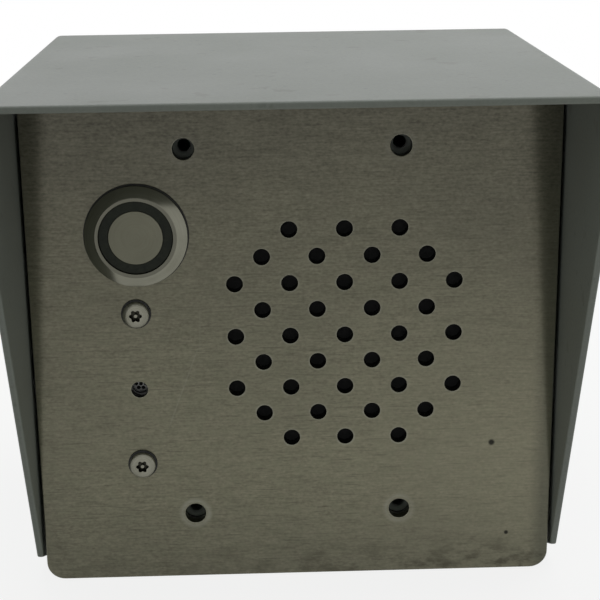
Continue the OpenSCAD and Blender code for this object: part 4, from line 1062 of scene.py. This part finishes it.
red = []
for x, z, lane, pin in BUTTON_LANES:
    u, v, pin_v = BUTTON[0] + x * TAG_U, BUTTON[1] + z * TAG_V, BUTTON_HEADER_V + pin
    red.append([(u, v, TAG_D), (u, v, TAG_D + lane - 0.5), (u + 1, v, TAG_D + lane),
                (BUTTON_HEADER_U - 2, pin_v, TAG_D + lane), (BUTTON_HEADER_U, pin_v, TAG_D + lane + 1),
                (BUTTON_HEADER_U, pin_v, LEAD_END_D)])
blue, black = [], []
for x in (-LEAD_SIDE, LEAD_SIDE):
    blue.append([(MIC[0] + x, MIC[1], 8.6), (MIC[0] + x, MIC[1], 14.0),
                 (-42, -22 + x, LEAD_END_D - 4), (-42, -22 + x, LEAD_END_D)])
    black.append([(SPEAKER[0] + x, -18.6, 14.4), (SPEAKER[0] + x, -19.6, 18.4),
                  (9, -29 + x, LEAD_END_D - 4), (9, -29 + x, LEAD_END_D)])
piece("button_wires", lead_mesh("button_wires", red), RED_WIRE, "button_leads")
piece("mic_wires", lead_mesh("mic_wires", blue), BLUE_WIRE, "mic_leads")
piece("speaker_wires", lead_mesh("speaker_wires", black), BLACK_WIRE, "speaker_leads")

# Sound cloth behind the plate
cloth = fillet([(0.0, 0.0), (LAND_R, 0.0), (LAND_R, 0.3), (0.0, 0.3)], 0.1, keep=(0, 3))
sheet = turned_piece("sound_cloth", SPEAKER, BACK_D, cloth, CLOTH, "mesh", "speaker_mesh")

# Stage: pale floor, soft light from above, pale surroundings
FLOOR_REACH, FLOOR_DROP = 12.0, 0.0004
FLOOR_IN_LIGHT, FLOOR_SEEN = (0.58, 0.575, 0.55, 1), (0.8, 0.8, 0.8, 1)
# The floor glows a little less near the part, which leaves its shadow
SHADOW_NEAR, SHADOW_FAR, WHITE_NEAR = 0.1, 0.45, 0.85


def pale(tree):
    """One for rays that look at the background, directly, mirrored or through glass."""
    ray = node(tree, "LightPath").outputs
    seen = math_node(tree, "MAXIMUM", ray["Is Camera Ray"], ray["Is Glossy Ray"])
    return math_node(tree, "MAXIMUM", seen, ray["Is Transmission Ray"])


floor_mesh = bpy.data.meshes.new("floor")
corners = [(x * FLOOR_REACH, y * FLOOR_REACH, 0.0) for x, y in ((-1, -1), (1, -1), (1, 1), (-1, 1))]
floor_mesh.from_pydata(corners, [], [(0, 1, 2, 3)])
floor = bpy.data.objects.new("floor", floor_mesh)
SCENE.collection.objects.link(floor)
floor.location.z = -FLOOR_DROP
floor_paint = bpy.data.materials.new("floor_white")
floor_paint.use_nodes = True
tree = floor_paint.node_tree
tree.nodes.clear()
seen = pale(tree)
matt = node(tree, "BsdfDiffuse", {"Color": mix_color(tree, seen, FLOOR_IN_LIGHT, FLOOR_SEEN)})
glow = node(tree, "Emission", {"Color": (1, 1, 1, 1), "Strength": 1.0})
away = vector_node(tree, "LENGTH", own_place(tree))["Value"]
white = times(tree, seen, stretch(tree, SHADOW_NEAR, SHADOW_FAR, away, WHITE_NEAR, 1.0))
both = node(tree, "MixShader", {0: white, 1: matt.outputs[0], 2: glow.outputs[0]})
node(tree, "OutputMaterial", {"Surface": both.outputs[0]})
floor_mesh.materials.append(floor_paint)
floor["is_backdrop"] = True

world = bpy.data.worlds.new("studio")
world.use_nodes = True
SCENE.world = world
tree = world.node_tree
tree.nodes.clear()
ambient = node(tree, "Background", {"Color": (0.90, 1.0, 0.83, 1), "Strength": 0.265})
backdrop = node(tree, "Background", {"Color": (1, 1, 1, 1), "Strength": 1.0})
both = node(tree, "MixShader", {0: pale(tree), 1: ambient.outputs[0], 2: backdrop.outputs[0]})
node(tree, "OutputWorld", {"Surface": both.outputs[0]})

lamp = bpy.data.lights.new("ceiling", "AREA")
lamp.shape = "RECTANGLE"
lamp.size = 1.0
lamp.size_y = 0.8
lamp.energy = 4.7
ceiling = bpy.data.objects.new("ceiling", lamp)
ceiling.location = (0.22, 0.1, 0.95)
SCENE.collection.objects.link(ceiling)

camera_data = bpy.data.cameras.new("camera")
camera_data.sensor_width = 36.0
camera_data.lens = 87.843
camera_data.clip_start = 0.01
camera = bpy.data.objects.new("camera", camera_data)
camera.location = (-0.007318, -0.324901, 0.155583)
camera.rotation_euler = [math.radians(a) for a in (73.483, 0.7212, -1.8117)]
SCENE.collection.objects.link(camera)
SCENE.camera = camera
SCENE.view_settings.view_transform = "Standard"

low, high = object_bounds()
